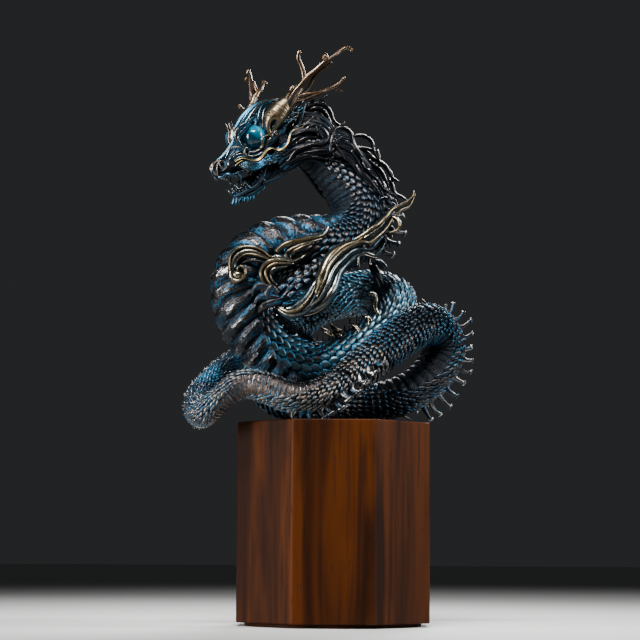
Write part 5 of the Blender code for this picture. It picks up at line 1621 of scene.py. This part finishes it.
# How each finish of the casting differs from the settings' patina, metal, warmer metal and ridge.
FINISHES = {
    "patinated_bronze_skin": dict(ridge=(0.42, 0.42, 0.43), wear=-0.01, polish=0.05, bump=0.00045),
    "rubbed_bronze_skin": dict(
        metal=(0.034, 0.031, 0.033), warm=(0.08, 0.058, 0.048), patina=(0.016, 0.055, 0.085),
        ridge=(0.62, 0.57, 0.53), wear=0.03, warmth=0.12, polish=0.2, bump=0.0003),
    "patinated_bronze_scales": {},
    # the ring's scales: brighter blue, partly patina and partly painted blue light
    "ring_patina_and_painted_light_scales": dict(metal=(0.085, 0.15, 0.19), patina=(0.03, 0.22, 0.38), wear=-0.17),
    "rubbed_bronze_scales": dict(
        metal=(0.06, 0.06, 0.064), warm=(0.15, 0.12, 0.09), ridge=(0.74, 0.69, 0.62), wear=-0.04,
        warmth=0.06),
    "patinated_bronze_spines": dict(wear=-0.14, ridge=(0.3, 0.3, 0.29)),
    "patinated_bronze_forks": dict(ridge=(0.46, 0.46, 0.43), wear=-0.03),
    # face and crown bands: their lighter blue is partly patina and partly painted blue light
    "face_patina_and_painted_light": dict(
        metal=(0.018, 0.07, 0.115), warm=(0.11, 0.08, 0.055), ridge=(0.36, 0.4, 0.4),
        patina=(0.01, 0.15, 0.29), wear=-0.02, polish=0.05),
    "patinated_bronze_skull": dict(metal=(0.02, 0.045, 0.065), ridge=(0.26, 0.27, 0.26), wear=-0.12),
    # beard: the bright cyan is partly patina and partly painted blue light
    "beard_patina_and_painted_light": dict(wear=-0.2, patina=(0.04, 0.4, 0.68)),
    "bright_gold": dict(
        metal=(0.1, 0.085, 0.05), warm=(0.28, 0.19, 0.06), ridge=(0.48, 0.39, 0.2), warmth=0.3),
    "rubbed_antler": dict(
        metal=(0.028, 0.023, 0.02), warm=(0.08, 0.042, 0.022), ridge=(0.24, 0.19, 0.135),
        patina=(0.02, 0.05, 0.08)),
    "ribbed_antler_root": dict(
        metal=(0.065, 0.055, 0.04), warm=(0.14, 0.1, 0.055), ridge=(0.3, 0.27, 0.21),
        patina=(0.02, 0.05, 0.06), wear=-0.02),
    "patinated_bronze_hair": dict(
        metal=(0.011, 0.013, 0.017), ridge=(0.38, 0.36, 0.34), patina=(0.006, 0.04, 0.075), wear=-0.1,
        polish=0.08),
    "patinated_bronze_limbs": dict(
        metal=(0.034, 0.043, 0.056), ridge=(0.5, 0.48, 0.47), wear=-0.05, polish=0.05, bump=0.0006),
    "gilded_bronze": dict(
        metal=(0.04, 0.06, 0.075), ridge=(0.46, 0.42, 0.32), patina=(0.012, 0.07, 0.12), warmth=-0.05,
        polish=0.08),
}


def metal_material(name):
    """One of the casting's finishes, made once and then shared."""
    if name in bpy.data.materials:
        return bpy.data.materials[name]
    settings = bpy.context.scene.dragon_metal
    warm = settings.gold if name == "gilded_bronze" else settings.copper
    colours = {"patina": tuple(settings.patina), "metal": tuple(settings.metal), "warm": tuple(warm),
               "ridge": tuple(settings.ridge)}
    group = bpy.data.node_groups.get("aged_metal") or aged_metal_group()
    return aged_metal(name, group, **{**colours, **FINISHES[name]})


# ---- operators

class OBJECT_OT_dragon_skin(bpy.types.Operator):
    """Adds the body's skin with its belly plates."""

    bl_idname = "object.dragon_skin"
    bl_label = "Body Skin"

    def execute(self, context):
        step = context.scene.dragon_metal.skin_step / MM
        for name, (shares, finish, fineness) in SKIN_PIECES.items():
            body_skin(name, shares, step * fineness, SKIN_SIDES, metal_material(finish))
        return {"FINISHED"}


class OBJECT_OT_dragon_scales(bpy.types.Operator):
    """Adds the scales on the back and sides."""

    bl_idname = "object.dragon_scales"
    bl_label = "Scales"

    def execute(self, context):
        for name, (shares, finish, seed) in SCALE_PIECES.items():
            body_scales(name, shares, metal_material(finish), seed)
        return {"FINISHED"}


class OBJECT_OT_dragon_spines(bpy.types.Operator):
    """Adds the crest, the forked spines and the tail's bristles."""

    bl_idname = "object.dragon_spines"
    bl_label = "Spines"

    def execute(self, context):
        add_piece("crest_spines", crest_spines, "patinated_bronze_spines", 11)
        add_piece("forked_spines", forked_spines, "patinated_bronze_forks", 48)
        add_piece("tail_bristles", tail_bristles, "patinated_bronze_scales", 12)
        return {"FINISHED"}


class OBJECT_OT_dragon_head(bpy.types.Operator):
    """Adds the skull and jaw with their teeth, ridges, beard, crown and gilded lips."""

    bl_idname = "object.dragon_head"
    bl_label = "Head"

    def execute(self, context):
        add_piece("skull_and_jaws", head_skin, "patinated_bronze_skull", 31)
        add_piece("face_ridges", face_ridges, "face_patina_and_painted_light", 33)
        add_piece("chin_beard", chin_beard, "beard_patina_and_painted_light", 34)
        add_piece("crown_bands", crown, "face_patina_and_painted_light")
        add_piece("gilded_lips", gilded_lips, "bright_gold")
        return {"FINISHED"}


class OBJECT_OT_dragon_antlers(bpy.types.Operator):
    """Adds the antlers and their roots."""

    bl_idname = "object.dragon_antlers"
    bl_label = "Antlers"

    def execute(self, context):
        add_piece("antlers", antlers, "rubbed_antler", 36)
        add_piece("antler_roots", antler_roots, "ribbed_antler_root")
        return {"FINISHED"}


class OBJECT_OT_dragon_mane(bpy.types.Operator):
    """Adds the mane, the leaves on the nape and the tail's tuft."""

    bl_idname = "object.dragon_mane"
    bl_label = "Mane"

    def execute(self, context):
        for name, shape, seed in (("mane", mane, 41), ("crest_leaves", crest_leaves, 46),
                                  ("far_mane", far_mane, 42), ("tail_tuft", tail_tuft, 44)):
            add_piece(name, shape, "patinated_bronze_hair", seed)
        return {"FINISHED"}


class OBJECT_OT_dragon_forelegs(bpy.types.Operator):
    """Adds the forelegs, the gilded flames at the shoulder, and the hooks and leaves in the ring."""

    bl_idname = "object.dragon_forelegs"
    bl_label = "Forelegs and Flames"

    def execute(self, context):
        add_piece("forelegs", forelegs, "patinated_bronze_limbs", 43)
        add_piece("gilded_flames", gilded_flames, "gilded_bronze", 49)
        add_piece("gilded_hooks", gilded_hooks, "gilded_bronze", 45)
        add_piece("ring_leaves", ring_leaves, "patinated_bronze_scales", 47)
        return {"FINISHED"}


class OBJECT_OT_dragon_eyes(bpy.types.Operator):
    """Adds the glass eyes and the foil behind them."""

    bl_idname = "object.dragon_eyes"
    bl_label = "Glass Eyes"

    def execute(self, context):
        glass = eye_glass("teal_glass", (0, 0.02, 0.035), (0, 0.3, 0.46))
        foil = eye_foil("teal_foil_painted_glow", (0, 0.1, 0.14), (0.05, 0.75, 0.85))
        for side, mirror in (("left", 1), ("right", -1)):
            eye("glass_eye_" + side, "eye_" + side, mirror, glass)
            eye_socket("eye_foil_" + side, mirror, foil)
        return {"FINISHED"}


class OBJECT_OT_dragon_plinth(bpy.types.Operator):
    """Gives the wooden block and its foot their grain."""

    bl_idname = "object.dragon_plinth"
    bl_label = "Plinth Wood"

    def execute(self, context):
        settings = context.scene.dragon_plinth
        wood, grain = tuple(settings.wood), tuple(settings.grain)
        foot_wood = tuple(0.6 * c for c in wood)
        for name, material in (
                ("plinth", walnut("oiled_walnut", wood, grain, (0.008, 0.0025, 0.001), 0.42)),
                ("plinth_foot", walnut("foot_walnut", foot_wood, grain, (0.03, 0.01, 0.006), 0.5))):
            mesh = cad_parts[name].data
            mesh.materials.clear()
            mesh.materials.append(material)
        return {"FINISHED"}


# Where each soft light stands, its width and height, and its watts. All are turned to one point.
SOFTBOXES = {
    "overhead_softbox": ((-0.1, -0.55, 0.95), (0.5, 0.22), 2.2),
    "left_softbox": ((-0.85, -0.45, 0.3), (0.22, 0.6), 2),
    "right_softbox": ((0.85, -0.1, 0.55), (0.22, 0.6), 1.3),
    "rear_softbox": ((0.25, 0.95, 0.7), (0.6, 0.4), 2),
}
LIT_POINT = Vector((0, 0, 0.22))
SOFTBOX_SPREAD = math.radians(50)
FLOOR_REACH = 4
CAMERA_PLACE = (0, -1.062, 0.0395)
CAMERA_PAN = math.radians(0.41)
CAMERA_ROLL = math.radians(0.32)


def add_softbox(name, place, size, watts):
    """A rectangular area light at a place, turned to the lit point."""
    data = bpy.data.lights.new(name, "AREA")
    data.shape = "RECTANGLE"
    data.size, data.size_y = size
    data.energy = watts
    data.spread = SOFTBOX_SPREAD
    lamp = add_object(name, data)
    lamp.location = place
    lamp.rotation_euler = (LIT_POINT - Vector(place)).to_track_quat("-Z", "Y").to_euler()


class OBJECT_OT_dragon_stage(bpy.types.Operator):
    """Adds the floor, the soft lights, the plain backdrop light and the camera."""

    bl_idname = "object.dragon_stage"
    bl_label = "Stage"

    def execute(self, context):
        settings = context.scene.dragon_stage
        mesh = bpy.data.meshes.new("floor")
        corners = [(x * FLOOR_REACH, y * FLOOR_REACH, 0) for x, y in ((-1, -1), (1, -1), (1, 1), (-1, 1))]
        mesh.from_pydata(corners, [], [(0, 1, 2, 3)])
        mesh.materials.append(plain_material("pale_floor", tuple(settings.floor), 0.7))
        add_object("floor", mesh)
        world = bpy.data.worlds.new("studio")
        world.use_nodes = True
        set_inputs(world.node_tree.nodes["Background"], Color=(0.62, 0.64, 0.67), Strength=0.035)
        context.scene.world = world
        for name, box in SOFTBOXES.items():
            add_softbox(name, *box)
        data = bpy.data.cameras.new("camera")
        data.lens = settings.lens
        data.sensor_width = 36
        camera = add_object("camera", data)
        camera.matrix_world = (
            Matrix.Translation(CAMERA_PLACE)
            @ Matrix.Rotation(CAMERA_PAN, 4, "Z")
            @ Matrix.Rotation(math.pi / 2 + settings.camera_tilt, 4, "X")
            @ Matrix.Rotation(CAMERA_ROLL, 4, "Z"))
        context.scene.camera = camera
        return {"FINISHED"}


class VIEW3D_PT_dragon(bpy.types.Panel):
    """Lists the dragon's operators and settings in the sidebar."""

    bl_label = "Coiled Dragon"
    bl_idname = "VIEW3D_PT_dragon"
    bl_space_type = "VIEW_3D"
    bl_region_type = "UI"
    bl_category = "Dragon"

    def draw(self, context):
        for name in SETTINGS:
            settings, box = getattr(context.scene, name), self.layout.box()
            for setting in settings.__annotations__:
                box.prop(settings, setting)
        for operator in OPERATORS:
            self.layout.operator(operator.bl_idname)


SETTINGS = {"dragon_metal": DragonMetalSettings, "dragon_plinth": DragonPlinthSettings,
            "dragon_stage": DragonStageSettings}
OPERATORS = [OBJECT_OT_dragon_skin, OBJECT_OT_dragon_scales, OBJECT_OT_dragon_spines,
             OBJECT_OT_dragon_head, OBJECT_OT_dragon_antlers, OBJECT_OT_dragon_mane,
             OBJECT_OT_dragon_forelegs, OBJECT_OT_dragon_eyes, OBJECT_OT_dragon_plinth,
             OBJECT_OT_dragon_stage]


def register():
    for cls in [*SETTINGS.values(), *OPERATORS, VIEW3D_PT_dragon]:
        bpy.utils.register_class(cls)
    for name, cls in SETTINGS.items():
        setattr(bpy.types.Scene, name, bpy.props.PointerProperty(type=cls))


def unregister():
    for name in SETTINGS:
        delattr(bpy.types.Scene, name)
    for cls in reversed([*SETTINGS.values(), *OPERATORS, VIEW3D_PT_dragon]):
        bpy.utils.unregister_class(cls)


def main():
    register()
    for operator in OPERATORS:
        group, name = operator.bl_idname.split(".")
        getattr(getattr(bpy.ops, group), name)()


if __name__ == "__main__":
    main()
